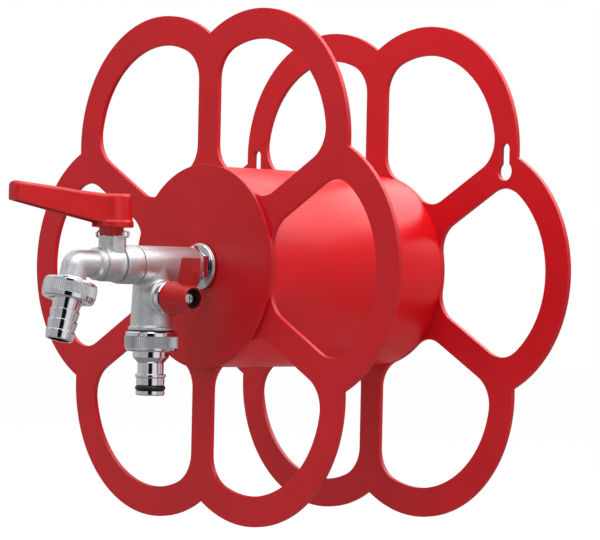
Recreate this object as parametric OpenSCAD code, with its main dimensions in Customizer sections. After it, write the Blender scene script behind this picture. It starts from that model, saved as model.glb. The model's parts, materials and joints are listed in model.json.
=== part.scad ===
// Wall-mounted hose holder: two petal plates joined by a drum, with a double outlet
// garden tap clamped to the front. The hose is wound round the drum by hand; nothing spins.
// Origin: centre of the wall face, on the drum axis. The front faces -Y and +Z is up.

/* [Petal plates] */
// Depth from the wall to the front plate's face
reel_depth = 140; // [120:1:180]
// Distance from the drum axis to each petal's centre
petal_pitch_r = 83; // [80:0.5:86]
// Outer radius of a petal
petal_r = 75.5; // [73:0.5:77]
// Width of the rim left round each opening
rim_w = 17; // [15:0.5:19]
// Width of a spoke
spoke_w = 16.5; // [14:0.5:20]
// Sheet thickness of both plates
plate_t = 3; // [2:0.5:4]
// Radius of the outer corners of an opening
outer_fillet = 19; // [15:1:21]
// Radius of the inner corners of an opening
inner_fillet = 15; // [11:1:17]
// Radius of the service opening in the rear plate
service_r = 45; // [38:1:50]

/* [Wall fixing] */
// Distance between the two keyholes
keyhole_pitch = 216; // [210:1:222]
// Height of the keyhole entries above the drum axis
keyhole_z = 59.5; // [56:0.5:62]
// Diameter of a keyhole's entry
keyhole_entry_d = 11; // [9:0.5:12]
// Width of a keyhole's slot
keyhole_slot_w = 7; // [5:0.5:8]
// Rise from the entry's centre to the slot end's centre
keyhole_rise = 13; // [10:0.5:14]

/* [Drum] */
// Outer radius of the drum
drum_r = 58.4; // [56:0.1:58.4]
// Wall of the drum
drum_wall = 1.5; // [1:0.1:2.5]
// Radius of the round cover disc on the front
disc_r = 59.4; // [58.5:0.1:62]
// Thickness of the cover disc
disc_t = 2; // [1.5:0.5:3]

/* [Tap] */
// Outer radius of the tap's main tube
tube_r = 11; // [11:0.1:12]
// Distance from the front plate's face to the branch's axis
branch_d = 39; // [38:0.5:40]
// Distance from the front plate's face to the main valve's stem
valve_d = 69; // [69:0.5:71]
// Distance from the front plate's face to the corner of the spout
spout_d = 95; // [94:0.5:100]
// Forward tilt of the spout from straight down, in degrees
spout_tilt = 14; // [5:1:20]
// Depth of the side valve's axis below the tap's axis
side_drop = 18.4; // [18:0.1:19]
// Radius of the water passage
water_r = 5; // [4:0.1:5]
// Outer radius of the knurled union nuts
nut_r = 15.25; // [15:0.05:16]

/* [Levers] */
// Distance from the front plate's face to the tip of the long lever
lever_tip_d = 140; // [120:1:150]
// Half the width of the lever's arm
arm_half_w = 5.6; // [5:0.1:6.5]
// Top of the lever's hub above the tap's axis
hub_top_z = 39.6; // [38:0.1:40.2]
// Reach of the side handle's wing above the handle's own axis
wing_reach = 22.9; // [18:0.1:26]

/* [Hidden] */
$fn = 96;

petal_count = 6;
petal_step = 360 / petal_count;
// Arcs and lines that blend run past their touching points by this much, so that they cross
crossing = 0.02;
front_back_y = -(reel_depth - plate_t);
opening_r = petal_r - rim_w;
web_r = drum_r + 0.1;

// Turned and drilled parts of one body meet with this much slack between their walls
slack = 0.05;
// Running clearance round a stem
run_gap = 0.06;
// Clearance between a ball and its seats
seat_gap = 0.15;

// G1/2 supply thread and its clearance hole in the plates. A relief groove parts the length
// for the supply from the length for the lock nut
shank_r = 10.48;
shank_hole_r = 10.8;
shank_end = 30;
relief_r = 9.4;
relief_z = [-14, -12.5];
// Flanged hex in front of the cover disc
gasket_t = 0.5;
flange_start = disc_t + gasket_t;
flange_r = 13.5;
hex_start = 5;
tube_start = 10.2;
hex_corner_r = 12;

// Main casting
joint_d = branch_d + 13.4;
socket_r = 8.5;
socket_depth = 7.5;
tee_bore_r = 6;
branch_top_r = 11;
branch_end_r = 12.2;
branch_end = 34;
side_ball_r = 7.6;
side_cavity_r = 8.2;
side_cavity_top = side_drop - 8.9;
thread_r = 13.1;
thread_end = 44.9;
side_boss_r = 10.3;
side_step_x = 11.4;
side_collar_r = 9.3;
side_boss_x = 16;
side_bore_r = 6;
side_mouth_x = 9.3;
side_flange_r = 4.5;
side_stem_r = 3;

// Main valve
main_ball_r = 7.2;
main_cavity_r = 7.6;
valve_end = valve_d + 8.6;
spigot_end = valve_end + 3.6;
spigot_r = 6.8;
stem_r = 3.5;
stem_flange_r = 5.1;
gland_r = 5.9;
gland_low = 8.8;
// Six-sided boss for the stem: half its width across the flats, and its turned corners
boss_flat = 7.75;
boss_corner_r = 8.4;
stop_plate_z = 14.8;
stop_plate_t = 0.9;
neck_z = 16;
arm_top_z = 40.2;
// The boss stands with its corners turned this far from square, in degrees
boss_turn = -9;

// Spout
spout_r = 7.6;
bend_r = 2.5;
spout_bend = 90 - spout_tilt;
bend_run = bend_r * tan(spout_bend / 2);
elbow_run = 0.5;
elbow_step = 0.05;
nut_start = 10.3;
nut_h = 11;

// Branch nut
branch_nut_z = 37.8;
// Middle of the sealing ring's groove, its floor and the nipple's end
groove = 69.85;
groove_r = 5.5;
nipple_end = 74.1;

// Side valve handle
handle_start = 17;
handle_end = 36.4;
recess_end = 30.4;

// Both stems: a tang in the ball's slot below, and a square in the handle above
tang = 2.4;
tang_half_l = 3.3;
square_half = 2.6;
square_l = 12.6;

// ---------------------------------------------------------------- frames

// Stands children on a vertical plane: local X stays X, local Y becomes Z,
// and local Z points out of the wall
module facing_out(y = 0) { translate([0, y, 0]) rotate([90, 0, 0]) children(); }

// Along the tap: local Z is the distance out from the front plate's face
module along_tap() { facing_out(-reel_depth) children(); }

// Down the branch: local Z is the depth below the tap's axis
module down_branch() { translate([0, -reel_depth - branch_d, 0]) rotate([180, 0, 0]) children(); }

// Up the main valve's stem: local Z is the height above the tap's axis
module up_stem() { translate([0, -reel_depth - valve_d, 0]) children(); }

// Down the spout: local Z runs from the corner of the elbow to the hose
module down_spout() {
    translate([0, -reel_depth - spout_d, 0]) rotate([180 - spout_tilt, 0, 0]) children();
}

// Along the side valve's stem: local Z is +X, and local X points down
module along_side() {
    translate([0, -reel_depth - branch_d, -side_drop]) rotate([0, 90, 0]) children();
}

// ---------------------------------------------------------------- shared shapes

// A part turned on a lathe: profile is a list of [radius, height] points
module turned(profile) { rotate_extrude() polygon(profile); }

// The square hole in a handle that fits the end of a stem
module square_hole(z0, z1) {
    half = square_half + slack;
    translate([-half, -half, z0]) cube([2 * half, 2 * half, z1 - z0]);
}

// A plain ring from z0 to z1
module ring(outer, inner, z0, z1) {
    turned([[inner, z0], [outer, z0], [outer, z1], [inner, z1]]);
}

// A solid bar from z0 to z1
module bar(r, z0, z1) { translate([0, 0, z0]) cylinder(r = r, h = z1 - z0); }

// A hexagon bar with both rims turned down at about 30 degrees, a flat facing local X
module chamfered_hex(corner_r, z0, z1, rim = 1) {
    intersection() {
        translate([0, 0, z0]) rotate([0, 0, 30]) cylinder(r = corner_r, h = z1 - z0, $fn = 6);
        turned([
            [0, z0], [corner_r - 2 * rim, z0], [corner_r + 0.1, z0 + rim],
            [corner_r + 0.1, z1 - rim], [corner_r - 2 * rim, z1], [0, z1]
        ]);
    }
}

// A valve ball with its passage along local Z
module valve_ball(r) {
    difference() {
        sphere(r = r);
        bar(water_r, -r - 1, r + 1);
    }
}

// Two seats that hold a ball, one at each side along local Z
module ball_seats(ball_r, seat_r, near, far) {
    for (side = [0, 1])
        mirror([0, 0, side])
            difference() {
                ring(seat_r - slack, water_r, near, far);
                sphere(r = ball_r + seat_gap);
            }
}

// A union nut: chamfered rims above and below a broad gripping band, and a lip at its far end
module union_nut(start, h) {
    rim = 2.4;
    lip = 1.3;
    end = start + h;
    turned([
        [thread_r + slack, start], [nut_r - 0.7, start], [nut_r - 0.35, start + 0.8],
        [nut_r - 0.35, start + rim - 0.4], [nut_r, start + rim], [nut_r, end - rim],
        [nut_r - 0.35, end - rim + 0.4], [nut_r - 0.5, end - 1], [nut_r - 1.5, end],
        [10.6, end], [10.6, end - lip], [thread_r + slack, end - lip]
    ]);
}

// ---------------------------------------------------------------- petal plates

// Direction vectors for the spoke above a petal that lies along +X
spoke_along = [cos(petal_step / 2), sin(petal_step / 2)];
spoke_across = [sin(petal_step / 2), -cos(petal_step / 2)];
petal_centre = [petal_pitch_r, 0];

// Corner centres: an outer one touches the spoke and the rim inside, an inner one touches
// the spoke and stays outside the web
outer_off = spoke_w / 2 + outer_fillet;
outer_run = petal_centre * spoke_along
    + sqrt(pow(opening_r - outer_fillet + crossing, 2) - pow(outer_off - petal_centre * spoke_across, 2));
outer_corner = outer_run * spoke_along + outer_off * spoke_across;
inner_off = spoke_w / 2 + inner_fillet;
inner_run = sqrt(pow(web_r + inner_fillet - crossing, 2) - pow(inner_off, 2));
inner_corner = inner_run * spoke_along + inner_off * spoke_across;
outer_touch = outer_corner - (outer_fillet - crossing) * spoke_across;
inner_touch = inner_corner - (inner_fillet - crossing) * spoke_across;

function flip(p) = [p[0], -p[1]];

// The opening of the petal that lies along +X
module petal_opening() {
    reach = petal_centre + 3 * (outer_corner - petal_centre);
    web_side = inner_corner * 0.7;
    difference() {
        union() {
            polygon([
                outer_corner, outer_touch, inner_touch, inner_corner, web_side, flip(web_side),
                flip(inner_corner), flip(inner_touch), flip(outer_touch), flip(outer_corner)
            ]);
            intersection() {
                translate(petal_centre) circle(r = opening_r);
                polygon([petal_centre, reach, flip(reach)]);
            }
            for (side = [0, 1])
                mirror([0, side]) {
                    translate(outer_corner) circle(r = outer_fillet);
                    translate(inner_corner) circle(r = inner_fillet);
                }
        }
        circle(r = web_r);
    }
}

// A plate blank: overlapping petals round a solid web, each with its opening
module petal_blank() {
    difference() {
        union() {
            circle(r = web_r / 2);
            for (i = [0 : petal_count - 1])
                rotate(i * petal_step) translate(petal_centre) circle(r = petal_r);
        }
        for (i = [0 : petal_count - 1])
            rotate(i * petal_step) petal_opening();
    }
}

module keyhole() {
    translate([0, 0, -1]) {
        cylinder(d = keyhole_entry_d, h = plate_t + 2);
        translate([0, keyhole_rise, 0]) cylinder(d = keyhole_slot_w, h = plate_t + 2);
        translate([-keyhole_slot_w / 2, 0, 0]) cube([keyhole_slot_w, keyhole_rise, plate_t + 2]);
    }
}

module rear_plate() {
    color("crimson")
        facing_out()
            difference() {
                linear_extrude(plate_t) petal_blank();
                bar(service_r, -1, plate_t + 1);
                for (side = [-1, 1])
                    translate([side * keyhole_pitch / 2, keyhole_z, 0]) keyhole();
            }
}

module front_plate() {
    color("crimson")
        facing_out(front_back_y)
            difference() {
                linear_extrude(plate_t) petal_blank();
                bar(shank_hole_r, -1, plate_t + 1);
            }
}

module drum() {
    color("red")
        facing_out() ring(drum_r, drum_r - drum_wall, plate_t, reel_depth - plate_t);
}

module front_disc() {
    color("firebrick")
        along_tap() ring(disc_r, shank_hole_r, 0, disc_t);
}

// ---------------------------------------------------------------- supply shank

module inlet_nipple() {
    color("silver")
        along_tap()
            difference() {
                union() {
                    turned([
                        [0, -shank_end], [shank_r - 1, -shank_end], [shank_r, 1 - shank_end],
                        [shank_r, relief_z[0]], [relief_r, relief_z[0]],
                        [relief_r, relief_z[1]], [shank_r, relief_z[1]],
                        [shank_r, flange_start], [flange_r, flange_start],
                        [flange_r, hex_start - 1], [flange_r - 1, hex_start], [0, hex_start]
                    ]);
                    chamfered_hex(hex_corner_r, hex_start - 0.2, tube_start);
                    bar(socket_r - slack, tube_start - 1, tube_start + socket_depth);
                }
                bar(tee_bore_r, -shank_end - 1, tube_start + socket_depth + 1);
            }
}

module flange_gasket() {
    color("black")
        along_tap() ring(flange_r - 0.6, shank_r + slack, disc_t, disc_t + gasket_t);
}

module lock_washer() {
    color("lightgray")
        along_tap() ring(16, shank_hole_r, -plate_t - 1.5, -plate_t);
}

module lock_nut() {
    color("goldenrod")
        along_tap()
            difference() {
                chamfered_hex(17, -plate_t - 8.5, -plate_t - 1.5);
                bar(shank_r + slack, -plate_t - 9, -plate_t - 1);
            }
}

// ---------------------------------------------------------------- tee casting

module tee_casting() {
    undercut = [36.5, 37.5];
    color("gainsboro")
        difference() {
            union() {
                along_tap() bar(tube_r, tube_start, joint_d);
                down_branch()
                    turned([
                        [0, 0], [branch_top_r, 0], [branch_top_r, 8], [branch_end_r, branch_end],
                        [thread_r + 0.2, branch_end + 1.2], [thread_r + 0.2, undercut[0]],
                        [thread_r - 1.9, undercut[0]], [thread_r - 1.9, undercut[1]],
                        [thread_r, undercut[1] + 0.4], [thread_r, thread_end], [0, thread_end]
                    ]);
                along_side()
                    turned([
                        [0, 0], [side_boss_r + 0.6, 0], [side_boss_r + 0.6, 5],
                        [side_boss_r, side_step_x - 0.5], [side_boss_r - 0.5, side_step_x],
                        [side_collar_r, side_step_x], [side_collar_r, side_boss_x - 0.5],
                        [side_collar_r - 0.5, side_boss_x], [0, side_boss_x]
                    ]);
            }
            along_tap() {
                bar(tee_bore_r, tube_start - 1, joint_d + 1);
                bar(socket_r, tube_start - 1, tube_start + socket_depth + 0.3);
                bar(socket_r, joint_d - socket_depth, joint_d + 1);
            }
            down_branch() {
                bar(water_r, 0, side_drop);
                bar(side_cavity_r, side_cavity_top, thread_end + 1);
            }
            along_side() {
                bar(side_flange_r + 0.2, 0, side_mouth_x);
                bar(side_bore_r, side_mouth_x, side_boss_x + 1);
            }
        }
}

// ---------------------------------------------------------------- main valve

module valve_body() {
    color("whitesmoke")
        difference() {
            union() {
                along_tap()
                    turned([
                        [0, joint_d - 7], [socket_r - slack, joint_d - 7],
                        [socket_r - slack, joint_d], [tube_r - 0.6, joint_d],
                        [tube_r, joint_d + 0.6], [tube_r + 0.1, joint_d + 5],
                        [tube_r, valve_d - 4.4], [tube_r - 0.3, valve_d - 4],
                        [tube_r - 0.8, valve_d - 3.8], [tube_r - 0.8, valve_d - 2.8],
                        [tube_r - 0.5, valve_d - 2.6], [tube_r - 1, valve_d - 0.5],
                        [tube_r - 1.2, valve_d + 1], [tube_r - 1.2, valve_end - 0.5],
                        [tube_r - 1.6, valve_end], [spigot_r, valve_end],
                        [spigot_r, spigot_end], [0, spigot_end]
                    ]);
                up_stem()
                    intersection() {
                        rotate([0, 0, boss_turn + 30])
                            cylinder(r = boss_flat / cos(30), h = stop_plate_z, $fn = 6);
                        bar(boss_corner_r, -1, stop_plate_z + 1);
                    }
            }
            along_tap() {
                bar(water_r, joint_d, spigot_end + 1);
                bar(main_cavity_r, joint_d - 8, valve_d + 6.5);
            }
            up_stem() {
                bar(stem_flange_r + 0.2, 0, gland_low);
                bar(gland_r, gland_low, stop_plate_z + 1);
            }
        }
}

module valve_seat_ring() {
    color("goldenrod")
        along_tap() ring(main_cavity_r - slack, water_r, valve_d - 13, valve_d - 6.5);
}

module main_seats() {
    color("white")
        translate([0, -reel_depth - valve_d, 0])
            rotate([90, 0, 0]) ball_seats(main_ball_r, main_cavity_r, 3.6, 6.5);
}

// The ball, with a slot across its top for the stem's tang
module main_ball() {
    color("lightsteelblue")
        up_stem()
            difference() {
                rotate([90, 0, 0]) valve_ball(main_ball_r);
                translate([-tang / 2 - 0.1, -4, main_ball_r - 1.6]) cube([tang + 0.2, 8, 3]);
            }
}

module main_stem() {
    color("goldenrod")
        up_stem()
            union() {
                translate([-tang / 2, -tang_half_l, main_ball_r - 1.5])
                    cube([tang, 2 * tang_half_l, 2.2]);
                bar(stem_flange_r, main_ball_r + 0.5, gland_low - 0.2);
                bar(stem_r, main_ball_r + 1, neck_z);
                difference() {
                    translate([-square_half, -square_half, neck_z - 0.2])
                        cube([2 * square_half, 2 * square_half, square_l + 0.2]);
                    bar(1.6, neck_z + 3, neck_z + square_l + 1);
                }
            }
}

module stem_seal() {
    color("dimgray")
        up_stem() ring(stem_flange_r - 0.1, stem_r + run_gap, gland_low + 0.1, gland_low + 1.4);
}

// The threaded ring that presses the stem's seal, flush with the boss
module gland_nut() {
    color("goldenrod")
        up_stem()
            difference() {
                bar(gland_r - slack, gland_low + 0.1, stop_plate_z - 0.1);
                bar(stem_flange_r, gland_low, gland_low + 1.4);
                bar(stem_r + run_gap, gland_low, stop_plate_z + 1);
            }
}

// A plate on the boss with an upright eared tab at each side, which a padlock can pass
module stop_plate() {
    ear_x = 12.6;
    ear_t = 1.2;
    ear_r = 2.3;
    ear_tab_w = 2.4;
    ear_z = 17;
    color("silver")
        up_stem()
            difference() {
                union() {
                    bar(6.9, stop_plate_z, stop_plate_z + stop_plate_t);
                    translate([-ear_x, -ear_tab_w / 2, stop_plate_z])
                        cube([2 * ear_x, ear_tab_w, stop_plate_t]);
                    for (x = [-ear_x, ear_x - ear_t])
                        translate([x, 0, ear_z]) {
                            rotate([0, 90, 0]) cylinder(r = ear_r, h = ear_t);
                            translate([0, -ear_tab_w / 2, stop_plate_z - ear_z])
                                cube([ear_t, ear_tab_w, ear_z - stop_plate_z]);
                        }
                }
                bar(stem_r + run_gap, stop_plate_z - 1, stop_plate_z + 2);
                translate([-ear_x - 1, 0, ear_z])
                    rotate([0, 90, 0]) cylinder(r = 1.1, h = 2 * ear_x + 2);
            }
}

// One stretch of the arm between two cross sections, each given as
// [distance from the stem, half width, underside height, top height]
module arm_stretch(near, far) {
    edge_r = 2;
    hull()
        for (end = [near, far], side = [-1, 1]) {
            translate([side * (end[1] - edge_r), -end[0], end[3] - edge_r])
                sphere(r = edge_r, $fn = 24);
            translate([side * (end[1] - edge_r), -end[0], end[2]])
                cylinder(r = edge_r, h = 1, $fn = 24);
        }
}

// The arm, or with an inset the hollow under it: level over the hub, then rising to the tip
module arm_form(inset = 0) {
    top = arm_top_z - inset;
    sink = inset > 0 ? 4 : 0;
    hub = [8, arm_half_w - inset, 22.6 - sink, top];
    bend = [27, arm_half_w - inset, 26 - sink, top];
    tip = [lever_tip_d - valve_d - 2 - inset, arm_half_w - 0.8 - inset, 33.6 - sink, 44 - inset];
    arm_stretch(hub, bend);
    arm_stretch(bend, tip);
}

// The hub's neck is a block with one corner taken out, where the stop plate's pin can pass
module main_lever() {
    skirt_z = 20.7;
    skirt_r = 11.8;
    neck_x = 6;
    neck_y = 5.2;
    color("firebrick")
        up_stem()
            difference() {
                union() {
                    turned([
                        [0, skirt_z], [skirt_r, skirt_z], [skirt_r, 24.1], [11.3, 24.5],
                        [10.1, hub_top_z - 0.9], [9.3, hub_top_z], [0, hub_top_z]
                    ]);
                    translate([-neck_x, -neck_y, neck_z])
                        cube([2 * neck_x, 2 * neck_y, skirt_z - neck_z + 1]);
                    arm_form();
                }
                difference() {
                    arm_form(1.8);
                    bar(10, neck_z, hub_top_z + 3);
                }
                translate([3.9, 0.9, neck_z - 1]) cube([3, 5, skirt_z - neck_z + 1]);
                square_hole(neck_z - 1, neck_z + square_l + 0.1);
                bar(2.1, 28, hub_top_z + 3);
                bar(4.6, 34.6, hub_top_z + 3);
            }
}

// A pan head screw with a cross recess, its head's seat at seat_z
module cross_screw(head_r, shaft_r, seat_z, shaft_l, head_h) {
    difference() {
        turned([
            [0, seat_z - shaft_l], [shaft_r, seat_z - shaft_l], [shaft_r, seat_z],
            [head_r, seat_z], [head_r, seat_z + head_h * 0.5],
            [head_r * 0.7, seat_z + head_h], [0, seat_z + head_h]
        ]);
        for (turn = [0, 90])
            rotate([0, 0, turn])
                translate([-head_r * 0.58, -0.4, seat_z + head_h - 1.1])
                    cube([head_r * 1.16, 0.8, 2]);
    }
}

module lever_screw() {
    color("silver")
        up_stem() cross_screw(4, 1.55, 34.6, 14, 2.6);
}

// ---------------------------------------------------------------- spout

// The bend between the level run and the leg, for a bar of radius r. The straight bars run a
// little into the bend, which is wider than they are by elbow_step
module elbow_bend(r) {
    translate([0, -reel_depth - spout_d + bend_run, -bend_r])
        rotate([0, 0, 180]) rotate([0, -90, 0])
            rotate_extrude(angle = spout_bend)
                intersection() {
                    translate([bend_r, 0]) circle(r = r + elbow_step);
                    translate([0, -r - 1]) square([bend_r + r + 1, 2 * r + 2]);
                }
}

module spout_elbow() {
    collar_r = 9.4;
    color("whitesmoke")
        difference() {
            union() {
                along_tap()
                    turned([
                        [0, valve_end], [collar_r - 0.6, valve_end],
                        [collar_r - 0.6, valve_end + 0.7], [collar_r, valve_end + 1],
                        [collar_r - 0.3, spigot_end + 0.5], [spout_r, spigot_end + 1.8],
                        [spout_r, spout_d - bend_run + elbow_run],
                        [0, spout_d - bend_run + elbow_run]
                    ]);
                elbow_bend(spout_r);
                down_spout()
                    turned([
                        [0, bend_run - elbow_run], [spout_r, bend_run - elbow_run],
                        [spout_r, nut_start - 1.6],
                        [thread_r - 1, nut_start - 0.2], [thread_r, nut_start + 0.6],
                        [thread_r, nut_start + 6], [0, nut_start + 6]
                    ]);
            }
            along_tap() {
                bar(spigot_r + slack, valve_end - 1, spigot_end + 0.1);
                bar(water_r, valve_end, spout_d - bend_run + elbow_run);
            }
            elbow_bend(water_r);
            down_spout() bar(water_r, bend_run - elbow_run, nut_start + 7);
        }
}

module spout_washer() {
    color("dimgray")
        down_spout() ring(thread_r - 0.5, water_r + 1, nut_start + 6, nut_start + 7.4);
}

// Hose tail: a flange held in the nut, and a barb of three tapering ridges and a straight end
module hose_tail() {
    seat = nut_start + 7.4;
    bore_r = 6.2;
    root_r = 7.6;
    crest_r = 8.3;
    first = 26.8;
    pitch = 5.9;
    barb_end = 43.4;
    barb = [
        for (i = [0 : 2], step = [0, 1])
            [step == 0 ? root_r : crest_r, first + pitch * i]
    ];
    color("silver")
        down_spout()
            turned(concat(
                [[bore_r, seat], [thread_r - 0.5, seat], [thread_r - 0.5, seat + 2.3]],
                [[crest_r, seat + 2.3], [crest_r, seat + 3.3]],
                barb,
                [[7.7, barb_end], [7.2, barb_end + 0.5], [bore_r, barb_end + 0.5]]
            ));
}

module spout_nut() {
    color("lightgray")
        down_spout() union_nut(nut_start, nut_h);
}

// ---------------------------------------------------------------- side valve

module side_ball() {
    color("lightsteelblue")
        along_side()
            difference() {
                rotate([0, 90, 0]) valve_ball(side_ball_r);
                translate([-4, -tang / 2 - 0.1, side_ball_r - 1.6]) cube([8, tang + 0.2, 3]);
            }
}

module side_seats() {
    color("white")
        down_branch() translate([0, 0, side_drop]) ball_seats(side_ball_r, side_cavity_r, 4.4, 8.9);
}

module side_seat_ring() {
    color("goldenrod")
        down_branch() ring(side_cavity_r - slack, water_r, side_drop + 8.9, side_drop + 15);
}

module side_stem() {
    color("goldenrod")
        along_side()
            union() {
                translate([-tang_half_l, -tang / 2, side_ball_r - 1.5])
                    cube([2 * tang_half_l, tang, 2.4]);
                bar(side_flange_r, side_ball_r + 0.75, side_mouth_x - 0.1);
                bar(side_stem_r, side_ball_r + 1, handle_start);
                difference() {
                    translate([-square_half, -square_half, handle_start - 0.2])
                        cube([2 * square_half, 2 * square_half, square_l + 0.2]);
                    bar(1.6, handle_start + 3, handle_start + square_l + 1);
                }
            }
}

module side_seal() {
    color("dimgray")
        along_side() ring(side_bore_r - slack, side_stem_r + run_gap, side_mouth_x, 10.6);
}

module side_gland() {
    color("silver")
        along_side() ring(side_bore_r - slack, side_stem_r + run_gap, 10.6, side_boss_x);
}

// Tapered knob with a deep round recess in its end and a wing along its top
module side_handle() {
    wing_half_t = 2.6;
    wing_top = wing_reach - side_drop;
    wing_foot = 10.6;
    color("firebrick")
        difference() {
            union() {
                along_side()
                    turned([
                        [0, handle_start], [9.2, handle_start], [10, handle_start + 0.8],
                        [6.9, handle_end - 0.4], [6.5, handle_end], [0, handle_end]
                    ]);
                translate([0, -reel_depth - branch_d + wing_half_t, 0])
                    rotate([90, 0, 0])
                        linear_extrude(2 * wing_half_t)
                            polygon([
                                [24.6, -wing_foot], [27.8, wing_top], [38.7, wing_top],
                                [38.2, -4], [handle_end - 0.4, -wing_foot],
                                [handle_end - 0.4, -side_drop], [24.6, -side_drop]
                            ]);
            }
            along_side() {
                bar(5.9, recess_end, handle_end + 3);
                bar(2.1, handle_start, recess_end + 1);
                square_hole(handle_start - 1, handle_start + square_l + 0.1);
            }
        }
}

module side_screw() {
    color("silver")
        along_side() cross_screw(3.6, 1.55, recess_end, 9, 2.2);
}

// ---------------------------------------------------------------- branch outlet

module nipple_washer() {
    color("dimgray")
        down_branch() ring(thread_r - 0.5, water_r + 1, thread_end, thread_end + 1.2);
}

// Plug-in coupling stem with a groove for its sealing ring
module quick_nipple() {
    seat = thread_end + 1.2;
    color("silver")
        down_branch()
            turned([
                [4.5, seat], [thread_r - 0.5, seat], [thread_r - 0.5, seat + 1.7],
                [10.35, seat + 1.7], [10.35, 52.4], [7.5, 55.6], [7.5, 61.9],
                [8.8, 62.1], [8.8, 63.5], [8.1, 64.2], [8.1, groove - 1.65],
                [groove_r, groove - 1.65], [groove_r, groove + 1.65], [8.3, groove + 1.65],
                [8.3, 73.6], [7.9, nipple_end], [4.5, nipple_end]
            ]);
}

module nipple_ring() {
    ring_r = 1.6;
    color("black")
        down_branch()
            translate([0, 0, groove])
                rotate_extrude() translate([groove_r + ring_r, 0]) circle(r = ring_r, $fn = 24);
}

module branch_nut() {
    color("lightgray")
        down_branch() union_nut(branch_nut_z, 11.3);
}

rear_plate();
drum();
front_plate();
front_disc();
inlet_nipple();
flange_gasket();
lock_washer();
lock_nut();
tee_casting();
valve_body();
valve_seat_ring();
main_seats();
main_ball();
main_stem();
stem_seal();
gland_nut();
stop_plate();
main_lever();
lever_screw();
spout_elbow();
spout_washer();
hose_tail();
spout_nut();
side_ball();
side_seats();
side_seat_ring();
side_stem();
side_seal();
side_gland();
side_handle();
side_screw();
nipple_washer();
quick_nipple();
nipple_ring();
branch_nut();
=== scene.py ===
# %% [markdown]
# # A wall holder for a garden hose, with a tap
#
# Two petal-shaped plates are welded to a drum, and a nickel-plated tap is clamped through the
# front plate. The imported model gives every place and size. This notebook adds what the solids
# leave out: softened castings, rolled edges, knurling, a screw thread, and the finishes.

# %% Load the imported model
import bpy
import bmesh
import json
from math import acos, asin, atan2, cos, pi, radians, sin, sqrt, tan
from mathutils import Matrix, Vector


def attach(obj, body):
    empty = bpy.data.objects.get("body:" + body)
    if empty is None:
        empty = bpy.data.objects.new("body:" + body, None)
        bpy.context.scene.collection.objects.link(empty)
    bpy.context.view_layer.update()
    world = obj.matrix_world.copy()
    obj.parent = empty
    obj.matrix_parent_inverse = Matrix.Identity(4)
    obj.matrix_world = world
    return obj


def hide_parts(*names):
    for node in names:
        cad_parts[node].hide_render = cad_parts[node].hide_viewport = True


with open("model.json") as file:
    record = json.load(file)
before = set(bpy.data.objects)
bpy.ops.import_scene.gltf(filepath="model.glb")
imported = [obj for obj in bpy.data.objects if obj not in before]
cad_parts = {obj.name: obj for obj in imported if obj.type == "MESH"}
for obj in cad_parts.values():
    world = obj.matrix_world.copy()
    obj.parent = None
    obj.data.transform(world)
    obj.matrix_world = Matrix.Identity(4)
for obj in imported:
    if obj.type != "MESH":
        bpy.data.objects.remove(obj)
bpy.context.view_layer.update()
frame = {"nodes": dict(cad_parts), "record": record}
MM = 0.001
print("packed nodes:", len(frame["nodes"]))

# %% [markdown]
# ## Sizes
#
# All shapes are built in millimetres, in the model's own axes, and turned into metres when a
# piece is finished. Distances along the tap are counted from the front plate's face.

# %% Driving sizes
REEL_DEPTH = 140
PETALS = 6
PETAL_PITCH_R = 83
PETAL_R = 75.7
RIM_W = 17.45
SPOKE_W = 17
PLATE_T = 3
OUTER_FILLET = 19
INNER_FILLET = 17
SERVICE_R = 45
KEYHOLE_PITCH = 216
KEYHOLE_Z = 59.5
DRUM_R = 58.4
DRUM_WALL = 1.5
DISC_R = 59.4
DISC_T = 2
SHANK_HOLE_R = 10.8
SHANK_R = 10.48
SHANK_END = 30
BRANCH_D = 39
VALVE_D = 69
SPOUT_D = 95
SPOUT_TILT = 14
SIDE_DROP = 18.4
TUBE_R = 11
JOINT_D = BRANCH_D + 13.4
NUT_R = 15.25
THREAD_R = 13.1
WATER_R = 5
SPOUT_R = 7.6
BEND_R = 2.5
NUT_START = 10.3
print("across the petals, mm:", round(2 * (PETAL_PITCH_R + PETAL_R), 1))

# %% [markdown]
# ## Places
#
# A turned part is easiest to draw on its own axis, as on a lathe. Each place below is a matrix
# that stands such an axis where it belongs, with local Z as the turning axis.

# %% Places on the holder
def place(x=0.0, y=0.0, z=0.0, turn=0.0, axis="X"):
    """A matrix in millimetres: turned by some degrees about one axis, then moved."""
    return Matrix.Translation((x, y, z)) @ Matrix.Rotation(radians(turn), 4, axis)


WALL = place(turn=90)
TAP = place(y=-REEL_DEPTH, turn=90)
BRANCH = place(y=-REEL_DEPTH - BRANCH_D, turn=180)
STEM = place(y=-REEL_DEPTH - VALVE_D)
SPOUT = place(y=-REEL_DEPTH - SPOUT_D, turn=180 - SPOUT_TILT)
SIDE = place(y=-REEL_DEPTH - BRANCH_D, z=-SIDE_DROP, turn=90, axis="Y")
print("side outlet starts at, mm:", *(round(v, 1) for v in SIDE.translation))

# %% [markdown]
# ## Camera
#
# A long lens from the right and level with the drum. Its place and aim are those at which the
# holder's edges line up with their places in a 600 by 540 frame.

# %% Camera
FRAME_W_PX = 600
FOCAL_PX = 2734.41
SENSOR_MM = 36
AZIMUTH, ELEVATION, ROLL = radians(46.910), radians(-0.223), radians(1.223)

back = Vector((sin(AZIMUTH) * cos(ELEVATION), -cos(AZIMUTH) * cos(ELEVATION), sin(ELEVATION)))
level_right = Vector((0, 0, 1)).cross(back).normalized()
level_up = back.cross(level_right)
right = cos(ROLL) * level_right + sin(ROLL) * level_up
up = cos(ROLL) * level_up - sin(ROLL) * level_right

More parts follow.
